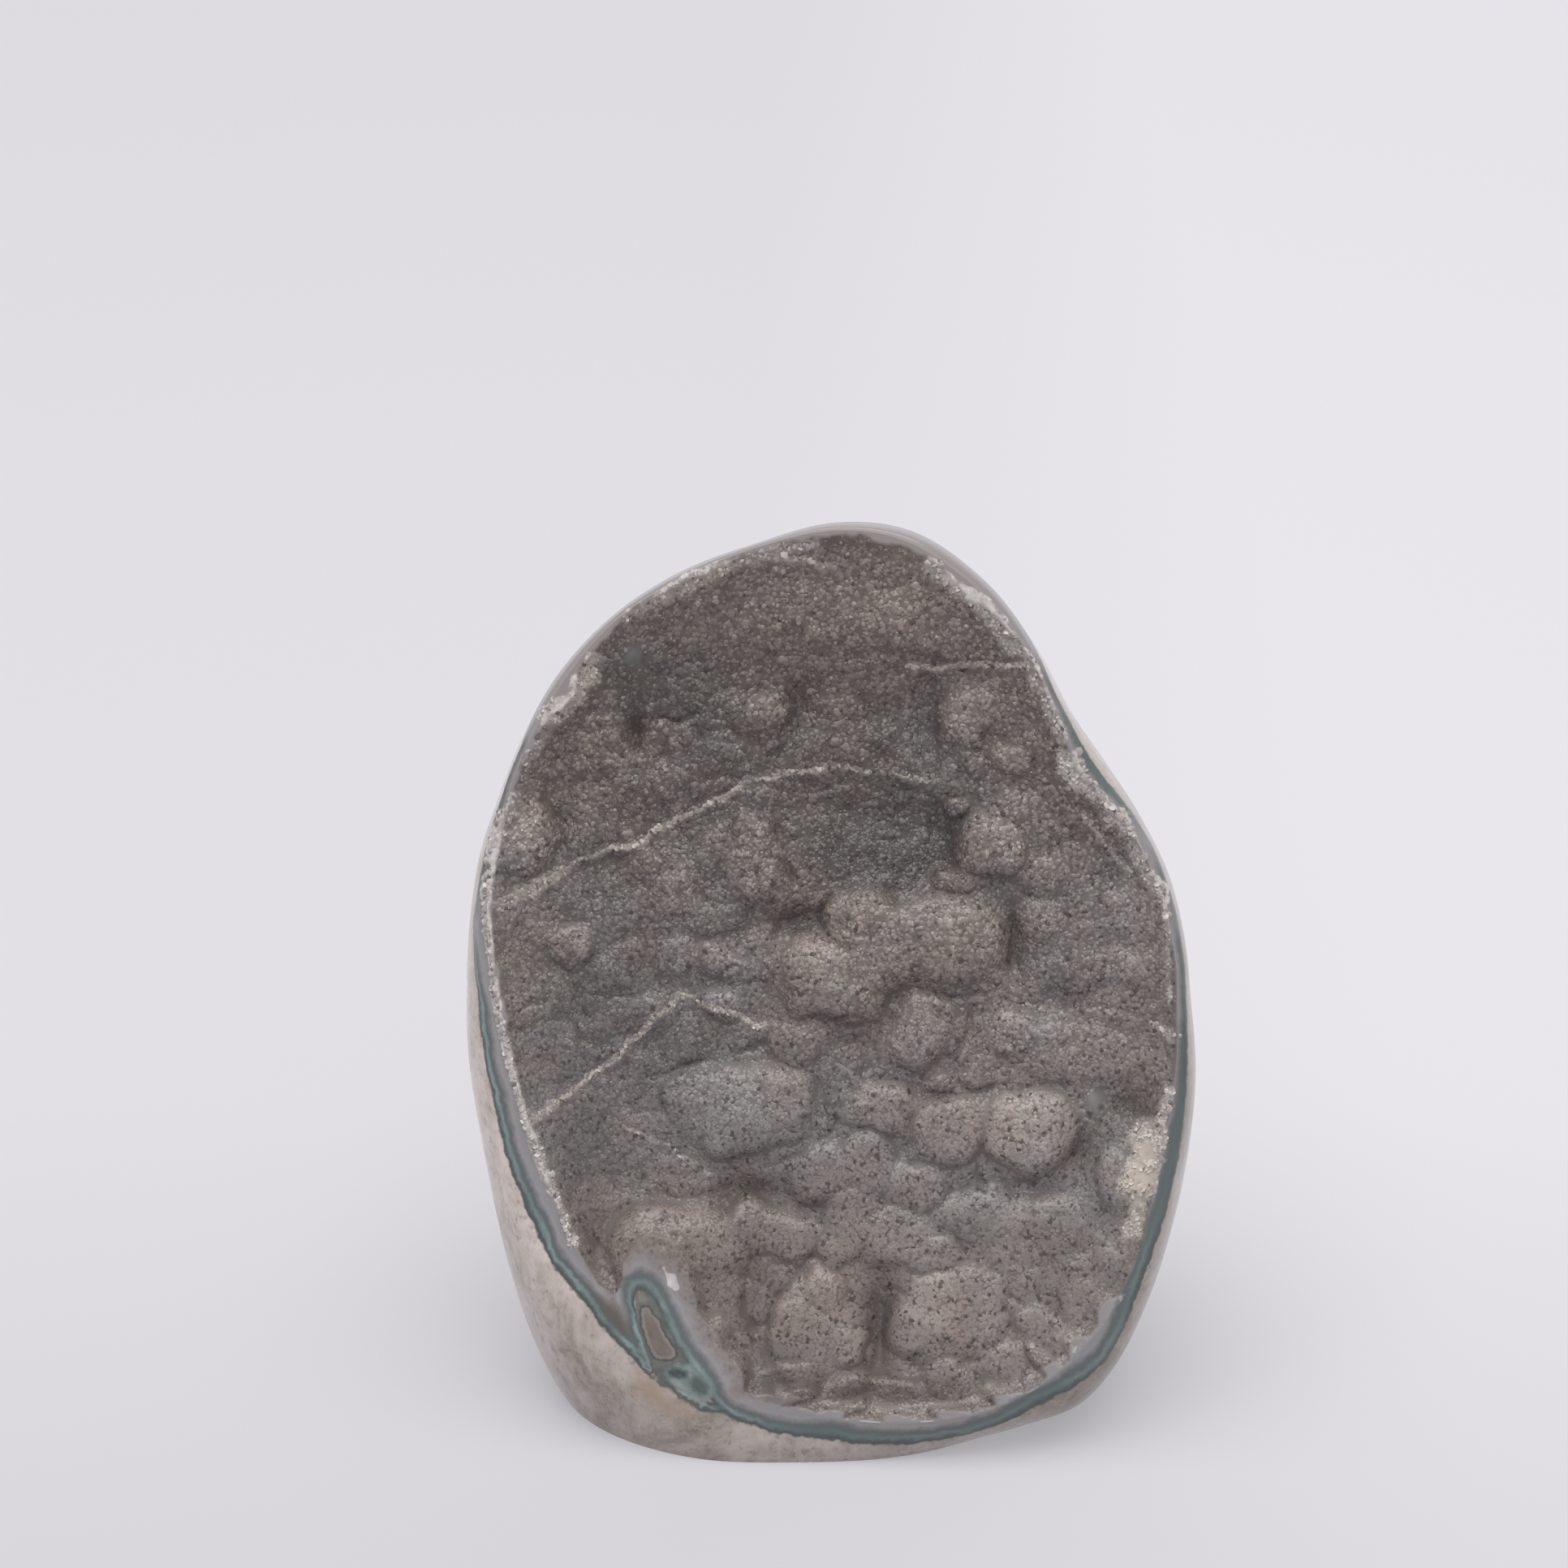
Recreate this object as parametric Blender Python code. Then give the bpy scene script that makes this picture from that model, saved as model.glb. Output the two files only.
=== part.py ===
"""A free-standing specimen of botryoidal chalcedony: one stone, sawn flat underneath and polished round its sides.

Its front is the wall of a natural cavity, a shallow bowl crowded with grape-like lumps under a skin of tiny crystals.
Healed fractures cross it as low ledges. The polished side runs from the rim of the bowl round to the back.
Metres, +Z up. The stone stands on its base at the origin and its face looks towards -Y.
"""

import math

import bmesh
import bpy
import numpy as np
from mathutils import Vector
from mathutils.geometry import delaunay_2d_cdt

MM = 0.001

# The face is a plane that leans back. Points on it are (across, up, out) in millimetres from its middle.
FACE_LEAN = math.radians(20.0)
FACE_MIDDLE = (0.075, -14.24, 67.6)
ACROSS = (1.0, 0.0, 0.0)
UP = (0.0, math.sin(FACE_LEAN), math.cos(FACE_LEAN))
OUT = (0.0, -math.cos(FACE_LEAN), math.sin(FACE_LEAN))

# The widest outline of the stone seen square on to the face, anticlockwise from the right. Below the base it runs on
# as the stone did before it was sawn.
OUTLINE = (
    (54.2, -1.0), (53.0, 8.5), (50.5, 17.5), (46.0, 26.0), (41.0, 33.5), (35.5, 41.5), (30.0, 51.5), (22.5, 61.0),
    (12.0, 68.0), (0.0, 69.3), (-12.0, 66.2), (-23.0, 62.0), (-33.0, 55.5), (-41.0, 47.0), (-46.5, 37.5),
    (-50.5, 27.5), (-53.5, 18.0), (-55.2, 3.0), (-55.2, -12.0), (-53.0, -27.0), (-49.5, -43.5), (-45.0, -57.0),
    (-39.0, -67.0), (-30.0, -75.5), (-19.0, -82.0), (-7.0, -80.5), (6.0, -76.5), (21.0, -70.5), (29.5, -68.0),
    (38.0, -65.0), (43.5, -59.0), (47.5, -51.0), (51.0, -41.0), (54.0, -28.0), (55.3, -14.0),
)
# The rim, where the crystal face meets the polished side.
RIM = (
    (51.0, -1.0), (50.5, 6.0), (47.5, 17.0), (43.0, 25.5), (37.0, 32.5), (33.5, 40.0), (30.0, 47.5), (24.5, 56.0),
    (18.0, 62.0), (11.0, 66.3), (3.0, 68.0), (-6.0, 67.0), (-19.0, 62.5), (-31.0, 55.5), (-39.5, 46.0),
    (-46.0, 34.0), (-50.0, 21.0), (-51.0, 10.5), (-49.5, -1.0), (-47.0, -13.5), (-43.5, -25.0), (-38.5, -37.0),
    (-32.0, -47.5), (-23.0, -55.5), (-14.0, -60.0), (-5.0, -62.5), (6.0, -64.2), (17.0, -63.8), (26.5, -61.2),
    (34.5, -56.0), (41.0, -48.5), (46.0, -38.0), (49.0, -24.0), (50.8, -12.0),
)
SIDE_DEPTH = 17.0  # how far behind the rim the stone is widest, level with the middle of the face
SIDE_DEPTH_SWING = 7.0  # by how much that is less at the top and more at the bottom
BACK_MIDDLE = (0.0, -30.0, -60.0)  # where the back is deepest, across, up and out
# How boxy the back is below, at the sides and above: under 1 is boxy, 1 is round, over 1 is flat and slanting.
BACK_BELOW, BACK_BESIDE, BACK_ABOVE = 0.65, 0.85, 1.4
BACK_EGG = (50.0, 68.0)  # half width and half height of the even outline that the back rounds off to

# The bowl falls this far from the rim, most of it within the run.
BOWL_DEPTH = 7.0
BOWL_RUN = 9.0
# Broad hollows (positive depth) and swells (negative) in the bowl: across, up, half width, half height, depth.
HOLLOWS = (
    (7.0, 22.0, 12.0, 8.0, 4.5), (9.0, 40.0, 10.0, 6.5, 3.5), (-35.0, 47.0, 5.0, 4.0, 2.0),
    (-42.0, 22.0, 4.0, 8.0, 2.0), (-4.0, 9.5, 6.0, 3.0, 2.5), (29.0, 5.0, 4.0, 7.0, 1.5),
    (-18.0, -10.0, 9.0, 4.0, 2.5), (-39.0, -28.0, 6.0, 11.0, 3.0), (-13.0, -30.0, 5.0, 4.0, 2.5),
    (46.0, -16.0, 5.0, 4.0, 2.0), (8.0, -50.0, 4.0, 9.0, 4.0), (-12.5, -49.0, 4.0, 9.0, 2.5),
    (10.0, 59.0, 20.0, 8.0, -3.5), (38.0, 6.0, 12.0, 13.0, -1.5), (16.0, -33.0, 22.0, 9.0, -2.5),
    (-24.0, -40.0, 9.0, 8.0, -2.0), (-37.5, -36.0, 3.0, 5.0, 2.0),
)
# The lumps: across, up, radius and how far each stands out of the bowl. The first six reach past the plane of the
# rim, so the polish has cut them flat: a tongue low on the left, and a small one high on the left.
LUMPS = (
    (-27.5, -42.5, 8.5, 9.0), (-25.0, -47.0, 8.5, 8.5), (-22.5, -52.0, 8.0, 6.5), (-19.0, -57.0, 7.0, 4.5),
    (-38.5, 46.0, 5.5, 5.5), (-36.0, 49.0, 4.0, 4.5),
    (12.0, 58.0, 13.0, 1.5), (-35.5, 38.5, 5.5, 3.0), (-22.0, 44.0, 5.5, 2.2), (-10.0, 42.5, 4.2, 3.0),
    (-9.0, 37.5, 3.4, 2.4), (-22.5, 34.5, 4.6, 2.6), (-15.0, 35.0, 3.6, 1.6), (-31.0, 30.0, 5.0, 1.6),
    (-46.5, 25.0, 5.5, 3.2), (20.0, 40.0, 5.8, 3.6), (28.5, 42.0, 5.0, 1.6), (26.5, 34.0, 2.8, 1.8),
    (24.5, 22.5, 6.0, 5.0), (26.0, 27.5, 4.0, 2.5), (34.0, 20.0, 5.5, 2.4), (31.5, 12.0, 5.0, 2.0),
    (43.5, 12.0, 6.5, 2.0), (37.0, 4.0, 6.5, 1.6), (46.0, 3.0, 5.0, 1.4), (-45.0, 7.5, 4.5, 2.8),
    (-38.5, 7.5, 4.2, 2.8), (-43.5, -1.5, 4.4, 2.4), (-36.0, -6.0, 4.0, 2.0), (-30.5, 15.0, 5.0, 2.2),
    (-23.5, 13.5, 4.8, 3.0), (-28.0, 21.0, 3.5, 1.2), (-13.0, 22.5, 4.6, 3.4), (-12.5, 17.0, 4.0, 2.8),
    (-17.0, 10.5, 4.0, 2.0), (-21.5, 4.0, 4.4, 2.4), (-16.0, 2.5, 3.6, 2.0), (-30.0, -2.0, 4.6, 2.0),
    (-11.0, 6.0, 3.4, 2.0), (-5.5, 13.0, 4.0, 2.6), (-3.0, 1.0, 6.8, 5.4), (1.0, 4.5, 5.2, 4.6),
    (6.5, 2.5, 4.5, 3.0), (4.5, 11.5, 4.4, 4.8), (11.0, 9.5, 5.4, 5.6), (18.5, 8.0, 7.4, 6.4),
    (21.0, 4.5, 5.0, 5.0), (13.5, -4.5, 5.6, 5.2), (12.5, -9.0, 4.4, 3.8), (-6.0, -7.5, 4.6, 3.2),
    (-16.5, -3.5, 3.8, 2.4), (0.0, -11.0, 4.5, 2.0), (26.0, -7.0, 5.5, 2.8), (35.0, -8.5, 6.5, 2.2),
    (43.0, -9.0, 6.0, 1.6), (-19.0, -15.0, 5.0, 3.4), (-12.0, -18.0, 8.6, 4.4), (-5.5, -15.0, 4.6, 3.0),
    (6.5, -18.5, 5.8, 4.4), (18.0, -22.5, 6.4, 4.6), (29.5, -21.5, 7.6, 5.4), (27.5, -16.5, 4.0, 3.6),
    (39.5, -16.5, 3.2, 1.6), (1.0, -28.0, 7.0, 3.2), (10.0, -30.0, 7.0, 2.0), (42.5, -28.0, 4.5, 2.4),
    (22.0, -35.0, 8.0, 1.6), (35.0, -37.0, 8.0, 1.8), (-27.0, -21.0, 4.0, 1.5), (-21.0, -26.0, 4.0, 2.0),
    (-21.0, -37.0, 8.0, 4.2), (-28.0, -33.5, 4.5, 2.8), (-10.5, -36.5, 5.4, 3.6), (-4.5, -37.0, 3.8, 2.8),
    (-3.0, -47.0, 6.8, 5.4), (-5.5, -53.0, 5.6, 4.6), (0.5, -50.0, 5.0, 4.0), (1.0, -57.0, 4.0, 3.0),
    (18.5, -48.0, 8.2, 4.8), (12.5, -51.0, 5.2, 4.4), (3.5, -38.5, 3.6, 3.0), (9.0, -40.0, 4.0, 3.4),
    (14.0, -41.5, 4.0, 3.6), (27.0, -53.0, 4.2, 2.2), (23.5, -57.5, 4.2, 2.0), (12.0, -59.5, 4.0, 1.6),
    (33.0, -48.0, 6.0, 1.8), (37.0, -53.0, 2.6, 1.4),
)
LUMP_SHARPNESS = 1.3  # per millimetre: how crisply one lump meets the next
# Healed fractures: how far the face drops below each, and its points.
FRACTURES = (
    (1.6, ((-50.0, 12.0), (-44.0, 16.0), (-36.0, 20.0), (-30.0, 21.5), (-22.0, 26.0), (-13.0, 30.5), (-6.0, 32.5),
           (4.0, 33.0), (12.5, 31.5), (20.0, 30.0))),
    (1.4, ((-45.0, -20.0), (-35.0, -12.0), (-30.0, -8.0), (-22.5, -1.0), (-17.0, -3.5), (-10.0, -6.0))),
    (1.0, ((20.0, -1.0), (30.0, -3.0), (40.0, -3.5), (51.0, -7.0))),
    (1.8, ((-6.0, 48.5), (5.0, 48.5), (15.0, 48.0), (31.0, 48.5))),
    (1.2, ((-34.0, -18.0), (-27.0, -21.0), (-22.0, -25.0), (-17.0, -30.0))),
    (1.0, ((37.0, 29.5), (40.5, 23.5), (44.5, 17.5))),
)
LEDGE_RUN = 1.4  # the slope of a ledge, across it
LEDGE_FADE = 9.0  # how far below the fracture the drop fades out

# The order of the materials on the stone.
DRUSE, TEAL_AGATE, WALL_ROCK = range(3)

# The facets of the solid.
FACET = 2.0
SPOKES = 148
SHOULDER_RINGS = 4
BACK_RINGS = 9


def closed_curve(points, steps=24):
    """A smooth closed curve through the points."""
    here = np.array(points, float)
    before, after, beyond = (np.roll(here, shift, axis=0) for shift in (1, -1, -2))
    t = np.linspace(0.0, 1.0, steps, endpoint=False)[:, None]
    spans = [
        b + 0.5 * t * (c - a + t * (2 * a - 5 * b + 4 * c - d + t * (3 * b - a - 3 * c + d)))
        for a, b, c, d in zip(before, here, after, beyond)
    ]
    return np.concatenate(spans)


def radius_at(points, angle):
    """How far the closed curve through the points is from the middle of the face, at each angle."""
    curve = closed_curve(points)
    turn = np.arctan2(curve[:, 1], curve[:, 0])
    return np.interp(angle, turn, np.hypot(curve[:, 0], curve[:, 1]), period=2 * math.pi)


def bowl(across, up):
    """The floor of the bowl under the lumps."""
    inside = radius_at(RIM, np.arctan2(up, across)) - np.hypot(across, up)
    out = -BOWL_DEPTH * (1.0 - np.exp(-np.maximum(inside, 0.0) / BOWL_RUN))
    for a, u, half_width, half_height, depth in HOLLOWS:
        out -= depth * np.exp(-(((across - a) / half_width) ** 2) - ((up - u) / half_height) ** 2)
    return out


def below_fracture(across, up, points):
    """The signed distance of each place below the fracture, and a weight that fades at its ends."""
    line = np.array(points)
    nearest = np.full(across.shape, np.inf)
    signed = np.zeros(across.shape)
    weight = np.zeros(across.shape)
    spans = len(line) - 1
    for i, (start, end) in enumerate(zip(line[:-1], line[1:])):
        run = end - start
        t = np.clip(((across - start[0]) * run[0] + (up - start[1]) * run[1]) / (run @ run), 0.0, 1.0)
        apart_across = across - start[0] - t * run[0]
        apart_up = up - start[1] - t * run[1]
        apart = np.hypot(apart_across, apart_up)
        side = np.sign(run[1] * apart_across - run[0] * apart_up)
        closer = apart < nearest
        nearest = np.where(closer, apart, nearest)
        signed = np.where(closer, side * apart, signed)
        weight = np.where(closer, np.sin(math.pi * (i + t) / spans) ** 0.5, weight)
    return signed, weight


def ledges(across, up):
    """How far the healed fractures lower the face."""
    drop = np.zeros(across.shape)
    for depth, points in FRACTURES:
        below, weight = below_fracture(across, up, points)
        step = 0.5 + 0.5 * np.tanh(below / LEDGE_RUN)
        drop -= depth * weight * step * np.exp(-np.maximum(below, 0.0) / LEDGE_FADE)
    return drop


def face_height(across, up):
    """How far the crystal face stands out from the plane of the rim."""
    floor = bowl(across, up)
    heights = [floor * LUMP_SHARPNESS]
    for a, u, radius, rise in LUMPS:
        foot = bowl(np.array([a]), np.array([u]))[0]
        reach = np.hypot(across - a, up - u) / radius
        fall = np.where(reach < 1.0, reach**2, 2.0 * reach - 1.0)
        heights.append((foot + rise - rise * fall) * LUMP_SHARPNESS)
    grown = np.logaddexp.reduce(heights) / LUMP_SHARPNESS + ledges(across, up)
    return np.minimum(grown, 0.0)


def side_profile(angle):
    """The polished side along one spoke, from just outside the rim to the back, as (across, up, out) points."""
    rim, widest = radius_at(RIM, angle), radius_at(OUTLINE, angle)
    direction = np.array([math.cos(angle), math.sin(angle)])
    sine = direction[1]
    depth = SIDE_DEPTH - SIDE_DEPTH_SWING * sine
    points = []
    for step in range(1, SHOULDER_RINGS + 1):
        bend = 0.5 * math.pi * step / SHOULDER_RINGS
        reach = rim + (widest - rim) * math.sin(bend)
        points.append((*(direction * reach), -depth * (1.0 - math.cos(bend))))
    boxiness = BACK_BESIDE + sine**2 * ((BACK_ABOVE if sine > 0 else BACK_BELOW) - BACK_BESIDE)
    middle = np.array(BACK_MIDDLE[:2])
    egg = 1.0 / math.hypot(direction[0] / BACK_EGG[0], direction[1] / BACK_EGG[1])
    for step in range(1, BACK_RINGS):
        bend = 0.5 * math.pi * step / BACK_RINGS
        inward = math.cos(bend) ** boxiness
        backward = math.sin(bend) ** boxiness
        evened = widest + (egg - widest) * math.sin(bend)
        place = middle + (direction * evened - middle) * inward
        points.append((*place, -depth + (BACK_MIDDLE[2] + depth) * backward))
    return points


def in_world(place):
    """A point of the face, in millimetres, as metres in the stone's own frame."""
    across, up, out = place
    return Vector(
        (FACE_MIDDLE[i] + across * ACROSS[i] + up * UP[i] + out * OUT[i]) * MM for i in range(3)
    )


def facet_places(rim):
    """Evenly spaced places inside the rim, in rows of equilateral triangles."""
    row = FACET * math.sqrt(3.0) / 2.0
    reach = float(np.abs(rim).max())
    rows = int(reach / row) + 1
    columns = int(reach / FACET) + 1
    up, across = np.meshgrid(np.arange(-rows, rows + 1), np.arange(-columns, columns + 1), indexing="ij")
    across = (across + 0.5 * (up % 2)) * FACET
    up = up * row
    inside = radius_at(RIM, np.arctan2(up, across)) - np.hypot(across, up)
    keep = inside > 0.55 * FACET
    return np.column_stack([across[keep], up[keep]])


def add_face(bm, angles):
    """The crystal face, inside its rim. Returns the vertices of the rim in order."""
    radii = radius_at(RIM, angles)
    rim = np.column_stack([radii * np.cos(angles), radii * np.sin(angles)])
    places = np.concatenate([rim, facet_places(rim)])
    corners = [Vector(place) for place in places]
    flat, _, triangles, *_ = delaunay_2d_cdt(corners, [], [list(range(len(rim)))], 1, 1e-5)
    across, up = np.array([point.x for point in flat]), np.array([point.y for point in flat])
    out = face_height(across, up)
    out[: len(rim)] = 0.0
    vertices = [bm.verts.new(in_world(place)) for place in zip(across, up, out)]
    for triangle in triangles:
        bm.faces.new([vertices[i] for i in triangle]).material_index = DRUSE
    return vertices[: len(rim)]


def add_side(bm, angles, rim):
    """The polished side and back, from the rim round to one point at the back."""
    profiles = [side_profile(angle) for angle in angles]
    loop = rim
    material = TEAL_AGATE
    for places in zip(*profiles):
        ring = [bm.verts.new(in_world(place)) for place in places]
        for i, vertex in enumerate(ring):
            j = (i + 1) % len(ring)
            bm.faces.new([loop[i], vertex, ring[j], loop[j]]).material_index = material
        loop = ring
        material = WALL_ROCK
    pole = bm.verts.new(in_world(BACK_MIDDLE))
    for i, vertex in enumerate(loop):
        bm.faces.new([vertex, pole, loop[(i + 1) % len(loop)]]).material_index = WALL_ROCK


def saw_base(bm):
    """Cuts the stone flat where it stands."""
    everything = bm.verts[:] + bm.edges[:] + bm.faces[:]
    cut = bmesh.ops.bisect_plane(
        bm, geom=everything, dist=1e-7, plane_co=(0, 0, 0), plane_no=(0, 0, 1), clear_inner=True
    )
    edges = [item for item in cut["geom_cut"] if isinstance(item, bmesh.types.BMEdge)]
    bmesh.ops.contextual_create(bm, geom=edges, mat_nr=WALL_ROCK)


def mineral(name, colour, roughness):
    """One of the stone's materials."""
    material = bpy.data.materials.new(name)
    material.use_nodes = True
    shader = material.node_tree.nodes["Principled BSDF"]
    shader.inputs["Base Color"].default_value = (*colour, 1.0)
    shader.inputs["Roughness"].default_value = roughness
    shader.inputs["Metallic"].default_value = 0.0
    return material


def make_stone():
    """The whole specimen, grown as one piece."""
    angles = np.linspace(-math.pi, math.pi, SPOKES, endpoint=False)
    bm = bmesh.new()
    rim = add_face(bm, angles)
    add_side(bm, angles, rim)
    saw_base(bm)
    bmesh.ops.triangulate(bm, faces=bm.faces[:])
    bmesh.ops.recalc_face_normals(bm, faces=bm.faces[:])
    mesh = bpy.data.meshes.new("stone")
    bm.to_mesh(mesh)
    bm.free()
    mesh.shade_smooth()
    mesh.set_sharp_from_angle(angle=math.radians(50.0))
    mesh.materials.append(mineral("druse", (0.205, 0.180, 0.170), 0.45))
    mesh.materials.append(mineral("teal_agate", (0.080, 0.170, 0.160), 0.12))
    mesh.materials.append(mineral("wall_rock", (0.390, 0.340, 0.310), 0.30))
    stone = bpy.data.objects.new("stone", mesh)
    bpy.context.scene.collection.objects.link(stone)
    return stone


def main():
    for thing in list(bpy.data.objects):
        bpy.data.objects.remove(thing)
    make_stone()


main()
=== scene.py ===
"""The looks of a free-standing specimen of botryoidal chalcedony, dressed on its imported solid.

The stone is one closed mesh. Its front is a hollow crowded with grape-like lumps, and about fifty thousand
small quartz points stand on it. Round the hollow runs the polished edge with its teal band, and behind that
the wall rock. Places on the face are (across, up, out) in millimetres from its middle. The face is a plane
that leans back. Sizes in the tables are in millimetres too.
"""

import math

import bmesh
import bpy
import numpy as np
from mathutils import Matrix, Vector
from mathutils.bvhtree import BVHTree
from mathutils.geometry import delaunay_2d_cdt


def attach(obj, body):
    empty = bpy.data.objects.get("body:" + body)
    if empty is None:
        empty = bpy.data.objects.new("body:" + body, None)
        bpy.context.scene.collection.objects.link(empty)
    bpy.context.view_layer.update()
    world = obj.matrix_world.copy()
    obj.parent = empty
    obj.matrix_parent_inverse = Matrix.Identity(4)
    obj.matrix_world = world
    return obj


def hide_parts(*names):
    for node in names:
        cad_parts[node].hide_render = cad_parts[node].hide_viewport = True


MM = 0.001

# The face, as the solid has it.
FACE_LEAN = math.radians(20.0)
FACE_MIDDLE = np.array([0.075, -14.24, 67.6])
FACE_AXES = np.array([
    [1.0, 0.0, 0.0],
    [0.0, math.sin(FACE_LEAN), math.cos(FACE_LEAN)],
    [0.0, -math.cos(FACE_LEAN), math.sin(FACE_LEAN)],
])  # across, up, out

# The widest outline of the stone and the rim of the hollow, seen square on to the face, anticlockwise from
# the right.
OUTLINE = (
    (54.2, -1.0), (53.0, 8.5), (50.5, 17.5), (46.0, 26.0), (41.0, 33.5), (35.5, 41.5), (30.0, 51.5),
    (22.5, 61.0), (12.0, 68.0), (0.0, 69.3), (-12.0, 66.2), (-23.0, 62.0), (-33.0, 55.5), (-41.0, 47.0),
    (-46.5, 37.5), (-50.5, 27.5), (-53.5, 18.0), (-55.2, 3.0), (-55.2, -12.0), (-53.0, -27.0),
    (-49.5, -43.5), (-45.0, -57.0), (-39.0, -67.0), (-30.0, -75.5), (-19.0, -82.0), (-7.0, -80.5),
    (6.0, -76.5), (21.0, -70.5), (29.5, -68.0), (38.0, -65.0), (43.5, -59.0), (47.5, -51.0), (51.0, -41.0),
    (54.0, -28.0), (55.3, -14.0),
)
RIM = (
    (51.0, -1.0), (50.5, 6.0), (47.5, 17.0), (43.0, 25.5), (37.0, 32.5), (33.5, 40.0), (30.0, 47.5),
    (24.5, 56.0), (18.0, 62.0), (11.0, 66.3), (3.0, 68.0), (-6.0, 67.0), (-19.0, 62.5), (-31.0, 55.5),
    (-39.5, 46.0), (-46.0, 34.0), (-50.0, 21.0), (-51.0, 10.5), (-49.5, -1.0), (-47.0, -13.5),
    (-43.5, -25.0), (-38.5, -37.0), (-32.0, -47.5), (-23.0, -55.5), (-14.0, -60.0), (-5.0, -62.5),
    (6.0, -64.2), (17.0, -63.8), (26.5, -61.2), (34.5, -56.0), (41.0, -48.5), (46.0, -38.0), (49.0, -24.0),
    (50.8, -12.0),
)
SIDE_DEPTH = 17.0  # how far behind the rim the stone is widest, level with the middle of the face
SIDE_DEPTH_SWING = 7.0  # by how much that is less at the top and more at the bottom
BACK_MIDDLE = np.array([0.0, -30.0, -60.0])
BACK_BELOW, BACK_BESIDE, BACK_ABOVE = 0.65, 0.85, 1.4  # under 1 is boxy, over 1 is flat and slanting
BACK_EGG = (50.0, 68.0)  # half the width and height of the egg that the back closes to
EDGE_ROUNDING = 0.48  # how far the polish has rounded the edge of the rim
BACK_WEAR = 0.15  # how much less deep the stone is than the solid

# The hollow and what stands in it.
BOWL_DEPTH = 6.6
BOWL_RUN = 7.0  # how far inside the rim it reaches two thirds of that
# Where the floor of the hollow is deeper: across, up, half width, half height, and by what share.
HOLLOWS = (
    (5.0, 26.0, 13.0, 6.0, 0.45), (16.0, 21.0, 3.5, 7.0, 0.4), (5.0, 40.5, 11.0, 6.0, 0.4),
    (14.0, 38.5, 2.5, 6.0, 0.25), (-41.0, 23.5, 2.5, 6.5, 0.45), (-3.5, 9.5, 6.0, 2.6, 0.45),
    (27.3, 5.5, 2.0, 5.0, 0.35), (7.5, -51.0, 3.0, 7.0, 0.6), (12.0, -58.0, 8.0, 3.0, 0.15),
    (-11.5, -50.0, 2.6, 9.0, 0.18), (-35.2, -41.6, 1.8, 3.2, 0.5), (-37.0, -29.0, 6.0, 10.0, 0.35),
    (-12.0, -31.0, 6.0, 3.0, 0.3), (45.0, -17.0, 4.0, 3.0, 0.4), (37.5, -25.0, 2.0, 4.0, 0.25),
    (27.0, -30.5, 8.0, 2.0, 0.2), (-29.3, 38.5, 1.5, 5.0, 0.3), (8.0, 60.0, 22.0, 8.0, -0.35),
    (-5.0, 41.5, 1.6, 4.0, 0.2),
)
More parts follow.
